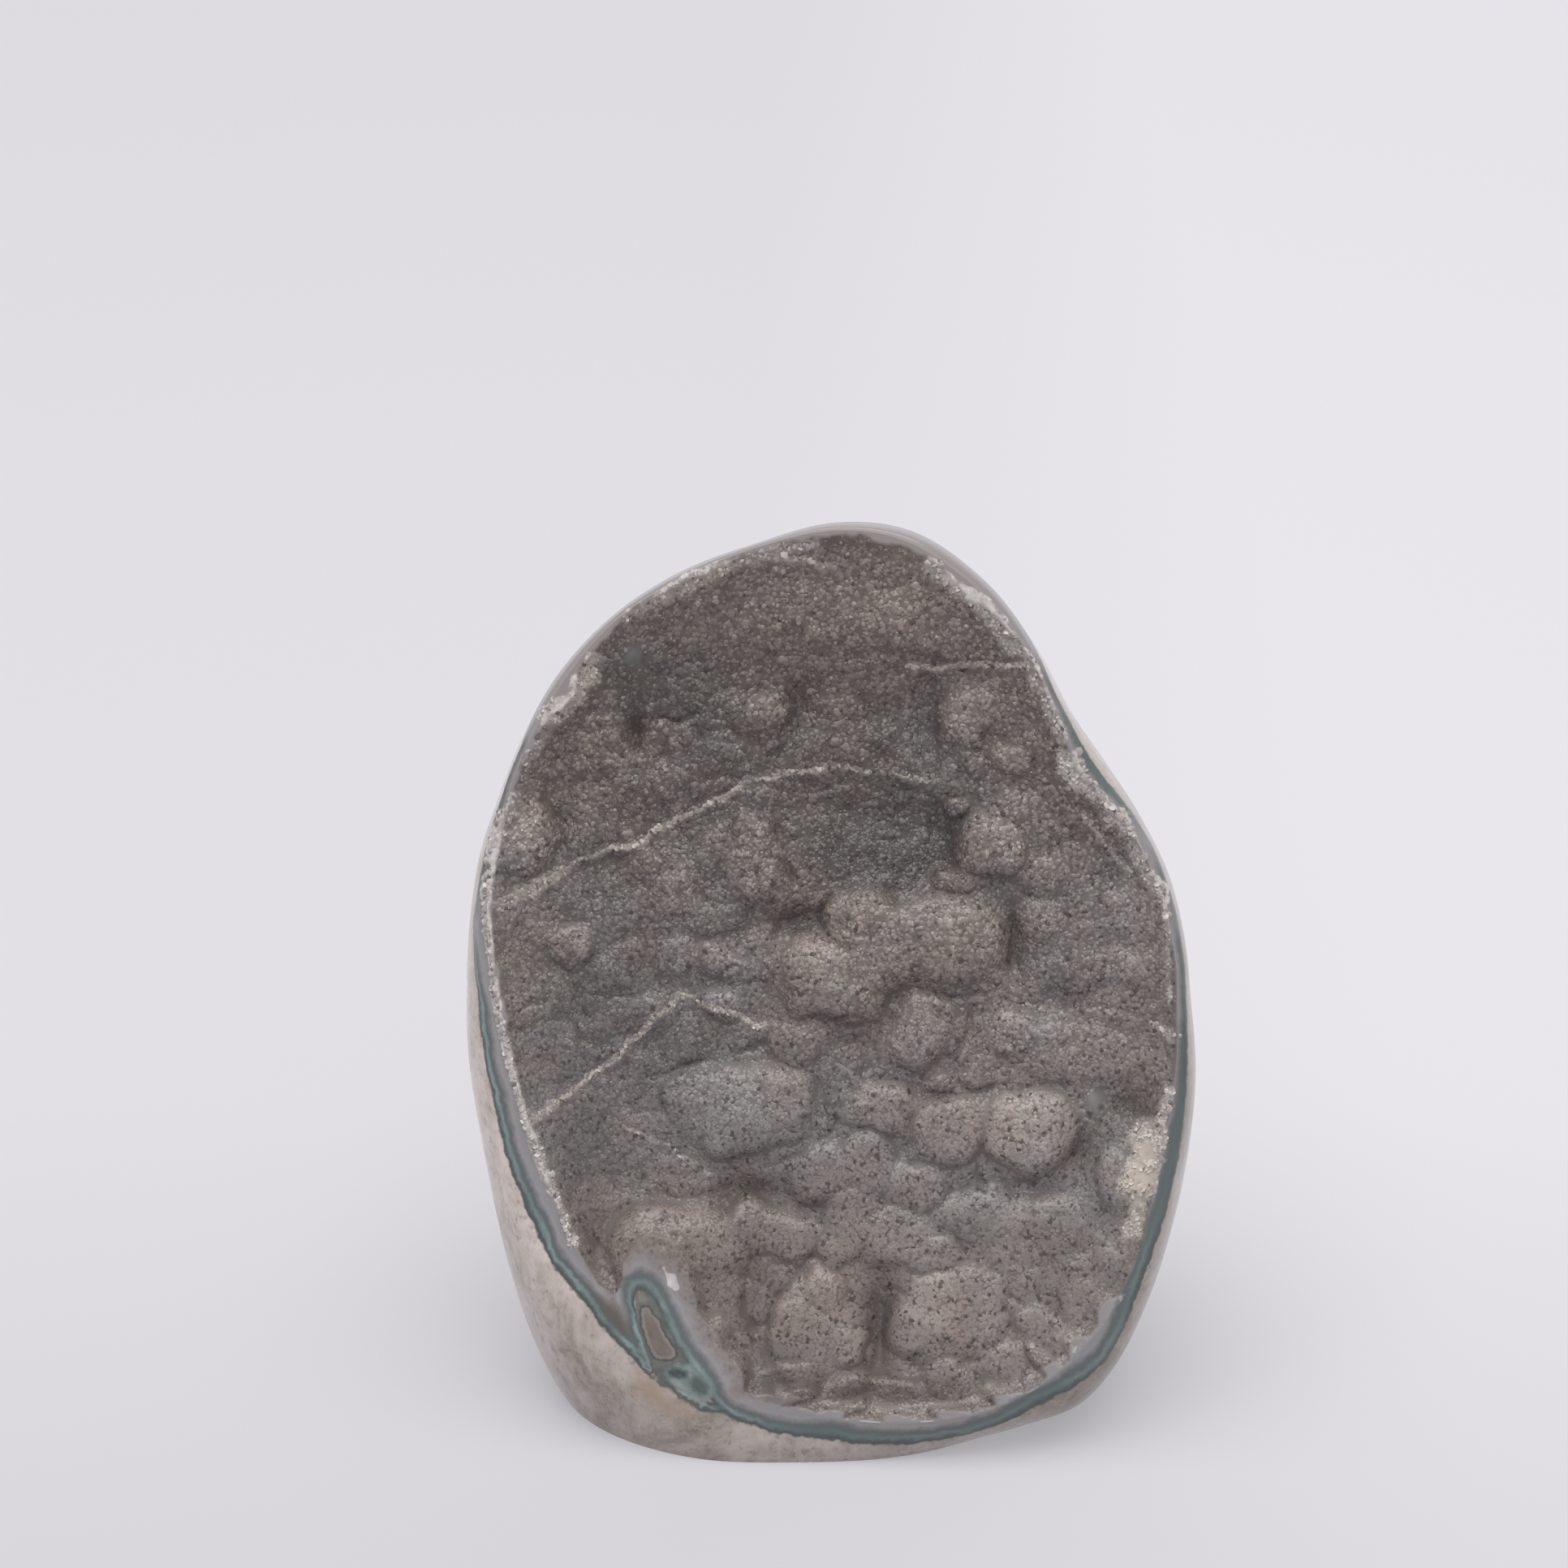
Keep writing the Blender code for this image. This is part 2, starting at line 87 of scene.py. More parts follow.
# The lobes: across, up, half length, half width, turn in degrees, how far out the top is, and the drop to
# its edge.
LOBES = (
    # Lobes that reached past the plane of the rim, so that the polish has cut them flat.
    (-26.2, -40.4, 7.6, 7.9, 0, 1.2, 6.0), (-28.2, -45.0, 4.9, 6.6, 0, 1.6, 6.0),
    (-25.2, -46.4, 7.8, 7.0, 0, 1.8, 6.0), (-25.6, -52.0, 6.6, 6.6, 0, 1.6, 6.0),
    (-21.6, -52.6, 7.4, 7.0, 0, 1.8, 6.0), (-18.2, -58.4, 7.0, 7.0, 0, 1.8, 6.0),
    (-40.0, 45.6, 5.6, 3.9, 55, 0.9, 6.0),
    # The edge of the hollow at the bottom and the lower right, polished flat as well.
    (44.8, -43.5, 5.2, 2.4, -68, 0.4, 5.0), (42.4, -48.4, 5.6, 3.2, -57, 0.6, 5.0),
    (38.4, -52.8, 5.6, 3.0, -48, 0.6, 5.0), (33.4, -56.2, 5.6, 2.5, -35, 0.5, 5.0),
    (27.0, -60.2, 6.0, 2.1, -20, 0.4, 5.0), (19.0, -62.6, 6.0, 1.8, -8, 0.4, 5.0),
    (10.0, -63.3, 6.0, 1.7, 0, 0.4, 5.0), (1.0, -62.8, 6.0, 1.7, 5, 0.4, 5.0),
    (-7.4, -61.0, 6.0, 1.7, 16, 0.4, 5.0),
    # Inside that edge, where the druse slopes down from it.
    (41.6, -42.4, 5.4, 4.2, -68, -1.2, 2.8), (38.0, -46.8, 5.8, 4.6, -52, -1.2, 2.8),
    (32.4, -51.2, 5.6, 4.2, -38, -1.3, 2.8), (26.2, -55.8, 5.6, 3.8, -22, -1.4, 2.8),
    (18.4, -58.6, 5.8, 3.4, -8, -1.5, 2.8), (10.0, -59.8, 5.8, 3.2, 0, -1.6, 2.8),
    (2.0, -59.4, 5.6, 3.0, 5, -1.6, 2.8), (-6.0, -58.0, 5.4, 3.0, 14, -1.5, 2.8),
    # Round the middle.
    (18.4, 6.4, 8.4, 7.8, 0, -1.8, 4.9), (15.4, 9.8, 9.0, 5.2, 4, -1.9, 4.6),
    (6.4, 9.8, 7.4, 5.0, -8, -1.9, 4.6), (-1.4, 2.6, 7.6, 6.2, 35, -1.9, 4.7),
    (2.6, -0.4, 6.4, 5.0, 0, -2.3, 4.2), (9.0, 4.2, 7.4, 5.4, 0, -2.4, 4.4),
    (13.5, -6.0, 6.6, 5.6, 22, -2.8, 4.6), (-5.0, -8.0, 5.4, 4.6, 0, -4.2, 3.2),
    (1.5, -12.0, 5.0, 4.0, 0, -5.0, 2.4), (18.5, 16.4, 3.6, 2.6, 0, -4.2, 3.4),
    (14.0, 19.8, 4.4, 3.8, 0, -7.0, 3.0), (7.5, 18.0, 4.0, 3.4, 0, -6.8, 3.0),
    (2.0, 17.4, 3.8, 3.2, 0, -6.6, 3.0), (-3.0, 14.6, 4.4, 3.6, 20, -5.4, 3.6),
    (-10.5, 7.5, 3.4, 3.0, 0, -5.8, 2.6), (24.5, 22.0, 6.2, 5.8, 0, -2.2, 5.6),
    (27.5, 27.5, 4.4, 3.4, 0, -3.4, 3.6), (18.2, 27.2, 2.6, 2.6, 0, -5.6, 3.4),
    # The broad right side.
    (39.0, 8.0, 13.5, 12.5, 0, -3.4, 4.0), (30.8, 10.0, 4.6, 5.2, 0, -2.9, 4.2),
    (45.0, 12.5, 5.5, 6.0, 0, -2.2, 3.6), (36.0, 2.5, 6.5, 4.2, 0, -2.8, 3.4),
    (45.5, 2.5, 5.0, 4.5, 0, -2.4, 3.4), (37.0, 19.0, 8.0, 6.0, 30, -3.2, 3.6),
    (32.0, 17.0, 4.5, 4.5, 0, -3.0, 3.2), (41.5, 24.0, 4.5, 4.0, 0, -2.2, 3.6),
    (36.5, -9.0, 14.0, 6.4, -4, -3.4, 3.8), (26.8, -6.5, 4.8, 4.4, 0, -2.9, 4.0),
    (33.0, -8.0, 4.5, 4.2, 0, -2.9, 3.2), (42.0, -9.5, 5.5, 4.6, 0, -2.7, 3.4),
    (39.2, -17.6, 2.4, 3.2, 20, -3.6, 3.4), (43.0, -28.5, 4.6, 5.6, 0, -1.4, 4.6),
    # Below the middle.
    (-12.5, -18.5, 13.0, 7.0, -8, -2.5, 4.6), (-20.5, -15.5, 5.4, 4.0, 0, -3.2, 3.6),
    (-7.0, -16.5, 5.8, 5.0, 0, -2.2, 4.0), (-14.0, -20.5, 6.5, 5.4, 0, -2.1, 4.0),
    (7.8, -18.0, 7.0, 4.8, 0, -3.0, 4.2), (3.0, -15.0, 3.6, 3.0, 0, -4.2, 3.0),
    (29.5, -21.6, 7.4, 7.0, 0, -1.2, 5.6), (18.8, -21.5, 6.4, 5.2, 20, -2.6, 4.2),
    (16.4, -14.0, 2.6, 2.4, 0, -4.4, 3.0), (22.0, -13.6, 3.6, 2.6, 0, -4.4, 3.0),
    (-1.8, -28.0, 6.0, 5.2, 20, -3.4, 3.4), (5.6, -26.6, 5.4, 5.0, 0, -3.2, 3.4),
    (12.4, -29.4, 6.2, 4.8, -12, -3.3, 3.4), (3.4, -32.6, 5.6, 4.2, 0, -3.6, 3.2),
    (31.0, -41.0, 14.5, 11.5, 0, -3.4, 4.0), (34.0, -35.0, 6.0, 5.0, 0, -2.9, 3.0),
    (22.0, -34.5, 7.5, 4.6, 0, -3.6, 3.0), (38.0, -43.0, 6.0, 6.0, 0, -2.4, 3.2),
    (30.0, -45.5, 5.0, 4.5, 0, -3.0, 3.0), (-22.0, -27.5, 6.0, 4.0, -35, -4.4, 3.0),
    # The big lobe beside the tongue and what follows it to the right.
    (-21.0, -38.0, 9.6, 6.6, -10, -0.9, 5.6), (-26.5, -35.6, 6.6, 4.2, 25, -0.6, 5.2),
    (-17.0, -46.0, 5.0, 8.0, 18, -1.8, 5.0), (-14.5, -54.5, 4.0, 7.0, 24, -2.2, 4.6),
    (-7.0, -37.0, 5.8, 4.0, -24, -3.2, 3.8), (-12.0, -36.0, 4.6, 4.0, 0, -3.0, 3.6),
    (-2.6, -50.5, 8.0, 9.6, 8, -2.6, 4.8), (-5.6, -51.0, 5.2, 6.0, 0, -2.0, 4.4),
    (-1.0, -45.4, 5.0, 4.2, 0, -2.4, 4.2), (2.8, -52.6, 3.8, 4.4, 0, -2.6, 4.8),
    (2.0, -58.4, 3.6, 3.4, 0, -3.2, 4.4), (-3.0, -57.0, 4.0, 3.2, 0, -3.4, 4.0),
    (18.8, -49.0, 10.4, 8.0, 14, -1.9, 5.0), (21.0, -46.5, 6.4, 5.2, 0, -1.6, 4.2),
    (13.6, -50.8, 5.2, 4.8, 0, -2.2, 4.2), (30.0, -47.0, 5.0, 6.4, 0, -2.5, 3.4),
    (7.0, -59.8, 5.0, 2.8, 0, -3.2, 2.4), (17.0, -59.4, 4.6, 2.8, 8, -3.0, 2.4),
    (-4.6, -59.6, 3.6, 2.4, -10, -3.0, 2.4), (-13.4, -46.6, 4.4, 5.6, 12, -3.2, 3.0),
    (-12.6, -53.4, 4.2, 4.6, 20, -3.3, 3.0), (-10.0, -57.6, 4.0, 3.0, 0, -3.0, 2.8),
    (-11.0, -42.6, 5.4, 4.6, 0, -4.0, 2.6), (10.6, -37.6, 7.0, 6.2, -16, -3.3, 3.3),
    (2.6, -37.6, 5.6, 5.4, 0, -3.4, 3.2), (15.0, -40.0, 5.0, 4.0, -20, -3.2, 3.0),
    (23.6, -56.4, 4.0, 3.2, 20, -2.4, 3.6), (12.5, -60.0, 5.6, 2.8, 0, -3.2, 2.8),
    (29.0, -53.5, 4.2, 3.4, 0, -2.6, 3.2), (34.5, -51.0, 4.6, 4.2, 0, -1.8, 3.2),
    # The left side.
    (-45.8, 23.0, 5.6, 7.8, 5, -0.9, 5.6), (-44.0, 7.8, 5.2, 4.0, 0, -2.9, 4.0),
    (-38.6, 7.0, 3.9, 4.4, 0, -2.7, 4.8), (-43.0, -0.6, 4.6, 4.6, 0, -3.2, 3.6),
    (-41.5, -8.5, 5.4, 4.8, 0, -3.8, 3.2), (-44.0, -15.0, 3.6, 3.6, 0, -2.8, 3.4),
    (-26.0, 15.0, 11.5, 8.0, 22, -4.2, 3.4), (-24.0, 14.0, 5.4, 5.0, 0, -3.5, 3.4),
    (-30.0, 18.0, 4.4, 3.8, 0, -3.9, 3.0), (-12.0, 18.4, 4.8, 7.6, -6, -3.0, 4.0),
    (-11.4, 23.0, 4.2, 3.8, 0, -3.5, 3.4), (-18.0, 20.5, 3.8, 4.2, 0, -4.3, 3.0),
    (-31.5, 3.5, 4.6, 4.0, 0, -4.2, 3.2), (-23.0, 4.6, 4.4, 3.8, 0, -4.0, 3.2),
    (-17.6, 3.6, 3.0, 3.0, 0, -3.8, 3.4), (-14.0, 2.0, 3.2, 3.4, 0, -4.4, 3.2),
    (-18.0, 10.0, 4.6, 3.6, 0, -4.4, 2.8), (-34.0, -4.0, 4.4, 4.0, 0, -4.6, 2.8),
    (-27.5, -3.0, 5.0, 3.0, 10, -4.4, 2.8), (-16.0, -3.6, 4.4, 2.6, -18, -3.6, 3.6),
    (-35.0, -9.0, 4.0, 3.4, 0, -5.0, 2.6),
    # The top, above the fractures.
    (-36.0, 38.0, 6.4, 5.4, 20, -3.4, 4.4), (-25.6, 36.0, 2.6, 3.0, 0, -4.4, 3.4),
    (-21.8, 36.2, 2.6, 2.8, 0, -4.2, 3.6), (-22.0, 43.5, 5.6, 4.4, 0, -4.4, 3.0),
    (-10.0, 40.4, 3.9, 4.4, 0, -3.6, 4.8), (-16.0, 35.5, 4.0, 3.4, 0, -5.0, 2.8),
    (-31.0, 30.5, 6.0, 3.6, 10, -4.8, 2.8), (-38.0, 31.0, 4.0, 4.4, 0, -4.6, 2.8),
    (-24.0, 31.0, 3.6, 3.0, 0, -4.8, 2.6), (-9.5, 36.5, 3.2, 2.6, 0, -5.2, 3.0),
    (20.0, 40.5, 4.8, 7.0, 0, -3.0, 5.4), (25.0, 43.0, 5.4, 4.6, 0, -3.6, 3.8),
    (27.2, 34.6, 3.0, 3.0, 0, -2.8, 4.0), (30.5, 38.5, 3.6, 5.6, 0, -2.6, 3.6),
    (21.5, 33.8, 3.6, 2.6, 0, -4.2, 3.4), (0.0, 42.0, 5.0, 3.6, 0, -6.8, 2.4),
    (7.0, 38.0, 4.6, 3.4, 0, -7.0, 2.4), (14.0, 55.0, 14.0, 6.0, -8, -2.2, 3.4),
    (-2.0, 56.0, 9.0, 6.0, 0, -3.2, 3.0),
)
LOBE_STEEPNESS = 4.4  # the power of the distance from its middle with which a lobe falls
LUMP_SHARPNESS = 3.6  # per millimetre: how crisply one lump meets the next
# The crevices between the lobes: half width, depth and points.
CREVICES = (
    # Round the middle.
    (1.1, 2.4, ((-13.0, 4.4), (-10.0, 5.0), (-7.0, 6.2), (-3.5, 8.0), (0.6, 9.4))),
    (0.6, 1.1, ((-7.0, 6.5), (-9.0, 3.0), (-9.6, -2.0))),
    (0.7, 1.5, ((17.6, 24.4), (15.3, 27.3), (14.6, 29.4))),
    (0.7, 1.9, ((4.3, 15.0), (10.0, 14.6), (14.5, 14.8), (17.0, 17.3), (18.2, 20.0), (17.6, 23.0),
                (18.8, 24.6))),
    (0.6, 0.9, ((18.8, 24.6), (21.0, 27.2), (23.5, 29.0))),
    (0.9, 2.2, ((26.6, 13.4), (27.1, 9.0), (27.4, 5.5), (26.4, 2.4))),
    (0.6, 1.4, ((12.6, 0.2), (16.5, -0.8), (20.8, -1.3), (23.5, -0.6))),
    (0.5, 0.9, ((-1.0, -5.2), (3.5, -4.0), (8.0, -2.2), (12.6, 0.2))),
    (0.4, 0.7, ((3.0, 22.6), (8.0, 22.0), (12.0, 22.6))),
    (0.6, 1.4, ((20.4, -1.6), (20.6, -5.5), (18.8, -9.4), (16.7, -12.0))),
    (0.5, 0.9, ((16.7, -12.0), (13.0, -11.6), (7.0, -11.6), (3.6, -12.4))),
    (0.6, 1.1, ((-3.0, -12.2), (-0.4, -10.6), (1.6, -8.2))),
    (0.4, 0.7, ((1.0, 9.6), (5.0, 8.2), (8.0, 8.0))),
    # Right.
    (0.4, 0.7, ((23.5, -1.4), (30.0, -2.7), (38.7, -2.8), (47.3, -3.3))),
    (0.7, 1.4, ((34.4, 27.6), (38.4, 26.8))),
    (0.6, 0.9, ((41.0, 17.4), (42.4, 17.2))),
    (1.1, 1.6, ((44.4, -13.6), (47.4, -16.4))),
    (0.4, 0.5, ((28.0, 14.4), (31.6, 14.8), (35.0, 12.4), (34.6, 7.6))),
    (0.4, 0.5, ((34.6, 7.6), (40.0, 6.4), (46.0, 7.0))),
    (0.4, 0.5, ((29.6, -4.4), (30.2, -8.4), (27.4, -11.4), (22.0, -11.8))),
    (0.4, 0.5, ((37.4, -4.4), (38.0, -9.0), (34.0, -13.0))),
    (0.9, 2.2, ((38.6, -19.4), (38.2, -22.0), (37.3, -27.0))),
    # Below the middle.
    (0.6, 1.4, ((0.3, -14.6), (1.2, -18.0), (0.6, -21.6), (-4.0, -24.8), (-9.6, -26.6), (-13.4, -28.4))),
    (0.6, 1.4, ((17.0, -16.4), (14.4, -18.2), (12.8, -21.8), (10.4, -25.0))),
    (0.7, 1.8, ((20.6, -26.0), (22.6, -29.4), (28.6, -29.2), (34.4, -28.0))),
    (0.3, 0.5, ((22.2, -17.0), (22.8, -21.0), (21.0, -26.0))),
    (0.6, 1.4, ((-27.4, -14.0), (-22.6, -12.0), (-15.0, -10.4), (-10.0, -8.0), (-9.4, -5.6))),
    (0.6, 0.9, ((-16.0, -31.0), (-13.0, -28.4), (-10.6, -26.0))),
    (0.4, 0.5, ((10.0, -33.0), (15.6, -32.4), (22.6, -29.6))),
    (0.6, 1.1, ((-10.4, -42.0), (-6.0, -41.2), (-2.6, -40.0), (0.4, -40.8))),
    (1.2, 2.4, ((4.6, -45.0), (7.0, -47.4), (7.8, -50.8), (7.4, -55.0), (5.4, -59.4))),
    (0.6, 1.4, ((7.0, -46.0), (12.0, -45.2))),
    (0.7, 1.8, ((11.6, -55.6), (14.4, -57.4), (19.4, -56.4), (22.4, -55.0))),
    (0.6, 1.1, ((22.4, -55.0), (26.3, -54.8), (27.8, -50.8))),
    (0.6, 1.5, ((25.6, -43.8), (28.4, -47.2))),
    (0.9, 2.2, ((-13.0, -42.6), (-12.4, -49.0), (-10.0, -54.0), (-7.0, -59.0), (-2.0, -60.0))),
    (0.5, 0.8, ((-7.6, -46.6), (-3.6, -46.0), (0.4, -49.0), (0.6, -54.4))),
    (1.0, 2.3, ((-39.8, -30.0), (-38.0, -33.2), (-35.8, -37.4), (-34.0, -39.8))),
    # Left.
    (0.9, 1.8, ((-45.4, 15.8), (-43.2, 17.6), (-41.4, 20.0), (-41.0, 24.0), (-42.4, 28.0), (-41.4, 32.6))),
    (0.9, 1.5, ((-49.2, 17.4), (-48.2, 16.0))),
    (0.6, 0.9, ((-48.8, 9.0), (-47.2, 4.4), (-46.4, 1.0))),
    (0.6, 1.5, ((-35.6, 4.6), (-38.8, 2.6), (-38.8, -2.0), (-37.6, -6.0), (-37.3, -10.0))),
    (0.4, 0.7, ((-37.0, -1.0), (-32.0, -1.4), (-28.0, -1.6))),
    (0.5, 1.1, ((-24.0, 8.4), (-20.4, 10.4), (-18.4, 12.4))),
    (0.6, 1.4, ((-18.2, 22.4), (-17.0, 18.4), (-15.4, 13.6), (-12.0, 10.6))),
    (0.5, 0.9, ((-20.4, -0.8), (-17.8, -1.2))),
    (0.7, 1.8, ((-8.6, 23.0), (-7.4, 19.4), (-5.8, 16.2), (-6.6, 12.6))),
    (0.4, 0.7, ((-34.0, 10.6), (-29.6, 11.4), (-26.0, 8.8))),
    (0.4, 0.7, ((-44.0, -5.0), (-40.6, -5.4), (-38.0, -4.0))),
    (0.4, 0.7, ((-20.6, 7.0), (-19.4, 3.0), (-20.4, 0.6))),
    # Top.
    (0.5, 1.1, ((-28.8, 41.4), (-29.2, 38.0), (-29.4, 34.4))),
    (0.5, 0.9, ((-20.2, 38.4), (-19.6, 34.8), (-20.0, 31.4))),
    (0.5, 0.9, ((-14.4, 38.0), (-10.4, 35.8), (-6.8, 37.6), (-6.2, 42.0))),
    (0.7, 0.9, ((14.6, 46.0), (14.6, 40.0), (15.2, 34.0), (15.0, 31.6))),
    (0.7, 1.1, ((28.0, 46.0), (28.6, 42.0), (31.0, 37.6))),
    (0.4, 0.7, ((23.4, 36.6), (23.6, 32.6), (26.0, 30.8), (29.6, 31.6))),
    (1.2, 0.9, ((-34.0, 53.0), (-32.6, 47.0), (-35.6, 41.6), (-39.0, 39.0))),
    (0.4, 0.7, ((-26.8, 41.0), (-23.2, 39.6), (-20.6, 40.6))),
)
# Healed fractures: how far the face drops below each, how pale its line is, and its points.
FRACTURES = (
    (1.6, 1.0, ((-50.0, 12.0), (-43.5, 15.3), (-39.0, 18.0), (-35.2, 20.0), (-29.3, 21.3), (-22.7, 25.6),
                (-16.4, 28.4), (-11.8, 31.2), (-6.0, 32.0), (1.0, 32.8), (8.0, 32.0), (14.0, 31.0),
                (20.0, 30.4))),
    (1.4, 0.9, ((-45.0, -20.0), (-41.0, -17.0), (-32.7, -11.3), (-26.8, -5.2), (-22.7, -1.0), (-18.5, -2.7),
                (-14.3, -3.8), (-11.0, -5.9), (-7.7, -4.9))),
    (1.0, 0.55, ((26.0, -1.6), (30.0, -2.5), (40.0, -3.0), (47.5, -4.6), (53.0, -7.0))),
    (1.8, 0.4, ((-10.0, 49.5), (-5.0, 48.4), (5.0, 48.6), (15.0, 47.8), (23.0, 48.2), (31.0, 48.4))),
    (0.3, 1.2, ((10.0, 48.2), (15.0, 47.8), (23.0, 48.2), (33.0, 48.4))),
    (1.2, 0.5, ((-34.0, -19.0), (-28.0, -22.0), (-22.0, -25.4), (-17.0, -28.4))),
    (1.0, 0.8, ((36.5, 26.5), (38.5, 24.2), (43.0, 19.0), (45.0, 17.0))),
    (0.4, 0.7, ((-13.0, 64.5), (-8.5, 64.0), (-4.0, 63.4), (1.0, 62.4))),
)
FRACTURE_WIDTH = 0.42
LEDGE_RUN = 1.0  # over how far the face drops below a fracture
LEDGE_FADE = 9.0  # over how far below that it comes back
# Lumps that fill the floor between the lobes, and smaller ones that crowd on all the others: pitch, rise and
# seed.
FILLERS = ((8.0, 1.3, 13), (5.0, 0.8, 14))
BEADS = ((3.8, 0.9, 11), (2.1, 0.55, 12), (1.2, 0.3, 15))
LUMP_RELIEF = 0.54  # how much of the lumps' height is left once the druse has filled between them
LUMP_BREADTH = 3.0  # what is broader than this keeps all its height
CREVICE_BREADTH = 0.95  # by how much all crevices are narrower than their rows say
CREVICE_DEPTH = 0.55  # by how much they are shallower
PROUD_BREADTH = 0.4
# The painted shading of the druse: painted shade in its crevices and under the lumps, painted light on its
# crests.
CREST_BREADTH = 1.3  # a place is on a crest where it stands out from what is round it this far
PAINTED_SHADE_LEAN = 0.8  # the painted shading is taken from this far higher up, so the painted shade is darker under the lumps than over them
WIDE_CREST = 0.4  # how much it counts where a place stands out from a wider part
WIDE_CREST_BREADTH = 5.0
WARP = 1.25  # how far the lumps stray from round
WARP_SIZE = 6.0
FINE_WARP = 0.4  # how much of that they stray over short distances too
FINE_WARP_SIZE = 2.6

# White, broken quartz in the rim: half width, strength and points.
CRUSTS = (
    (0.5, 0.9, ((-51.2, 14.0), (-51.0, 9.0), (-49.8, 0.0), (-48.8, -6.0))),
    (0.5, 0.9, ((-48.8, -6.0), (-47.2, -12.5), (-45.5, -18.5))),
    (0.7, 0.9, ((-45.5, -18.5), (-43.0, -26.0), (-40.2, -32.0), (-38.2, -37.6))),
    (0.8, 0.7, ((-47.2, 29.0), (-50.2, 21.5), (-51.2, 14.0))),
    (0.7, 0.45, ((-37.0, 44.5), (-41.0, 40.5), (-45.0, 34.0))),
    (1.2, 0.8, ((-35.6, 49.6), (-36.0, 46.2), (-38.4, 43.0), (-42.0, 40.6))),
    (0.9, 0.5, ((-30.4, 55.2), (-24.3, 59.2), (-17.2, 62.0), (-12.0, 63.8))),
    (0.7, 0.6, ((-12.0, 64.0), (-3.0, 66.2))),
    (1.0, 0.85, ((14.0, 63.0), (20.0, 58.6), (24.4, 54.6), (26.6, 51.0))),
    (0.7, 0.6, ((28.4, 50.0), (31.8, 42.0), (34.0, 37.5))),
    (1.3, 1.0, ((34.4, 34.4), (36.2, 31.4), (40.0, 28.2), (43.2, 24.6))),
    (0.9, 0.7, ((43.2, 24.6), (46.0, 18.4), (49.0, 14.0))),
    (0.7, 0.9, ((46.6, 17.6), (49.4, 15.4))),
    (0.6, 0.7, ((47.6, -4.6), (50.4, -7.0))),
    (0.4, 0.6, ((49.0, 14.0), (49.6, 6.0), (49.9, -2.0))),
    (0.8, 0.55, ((-49.0, 12.4), (-43.5, 15.3), (-40.0, 17.4))),
    (0.7, 0.6, ((-44.6, -19.8), (-41.4, -17.4))),
    (0.6, 1.0, ((50.0, -14.4), (48.6, -20.6))),
    (2.2, 1.0, ((47.0, -22.4), (46.0, -28.6))),
    (1.3, 0.72, ((46.0, -28.6), (45.6, -32.2), (44.8, -35.2))),
    (0.3, 0.28, ((43.6, -44.6), (40.2, -49.6), (36.0, -53.6), (29.0, -58.0), (20.0, -61.2), (10.0, -62.2),
                 (0.0, -61.6), (-8.0, -59.8))),
    (1.2, 0.3, ((35.0, -51.6), (36.8, -52.6))),
)
# Where that quartz is yellow: across, up, half width and half height.
YELLOW = (
    (45.6, -27.5, 4.5, 9.0), (-37.6, 46.2, 6.0, 6.0), (-22.0, 60.0, 12.0, 5.0), (22.0, 48.0, 6.0, 2.0),
    (-43.0, 15.5, 5.0, 3.0),
)
# Smooth blue-grey places with no points: across, up and radius.
BARE = ((39.4, -17.0, 2.0), (-29.3, 49.2, 2.0), (46.8, -23.6, 1.8), (46.2, -27.4, 1.6), (45.6, -31.0, 1.1))

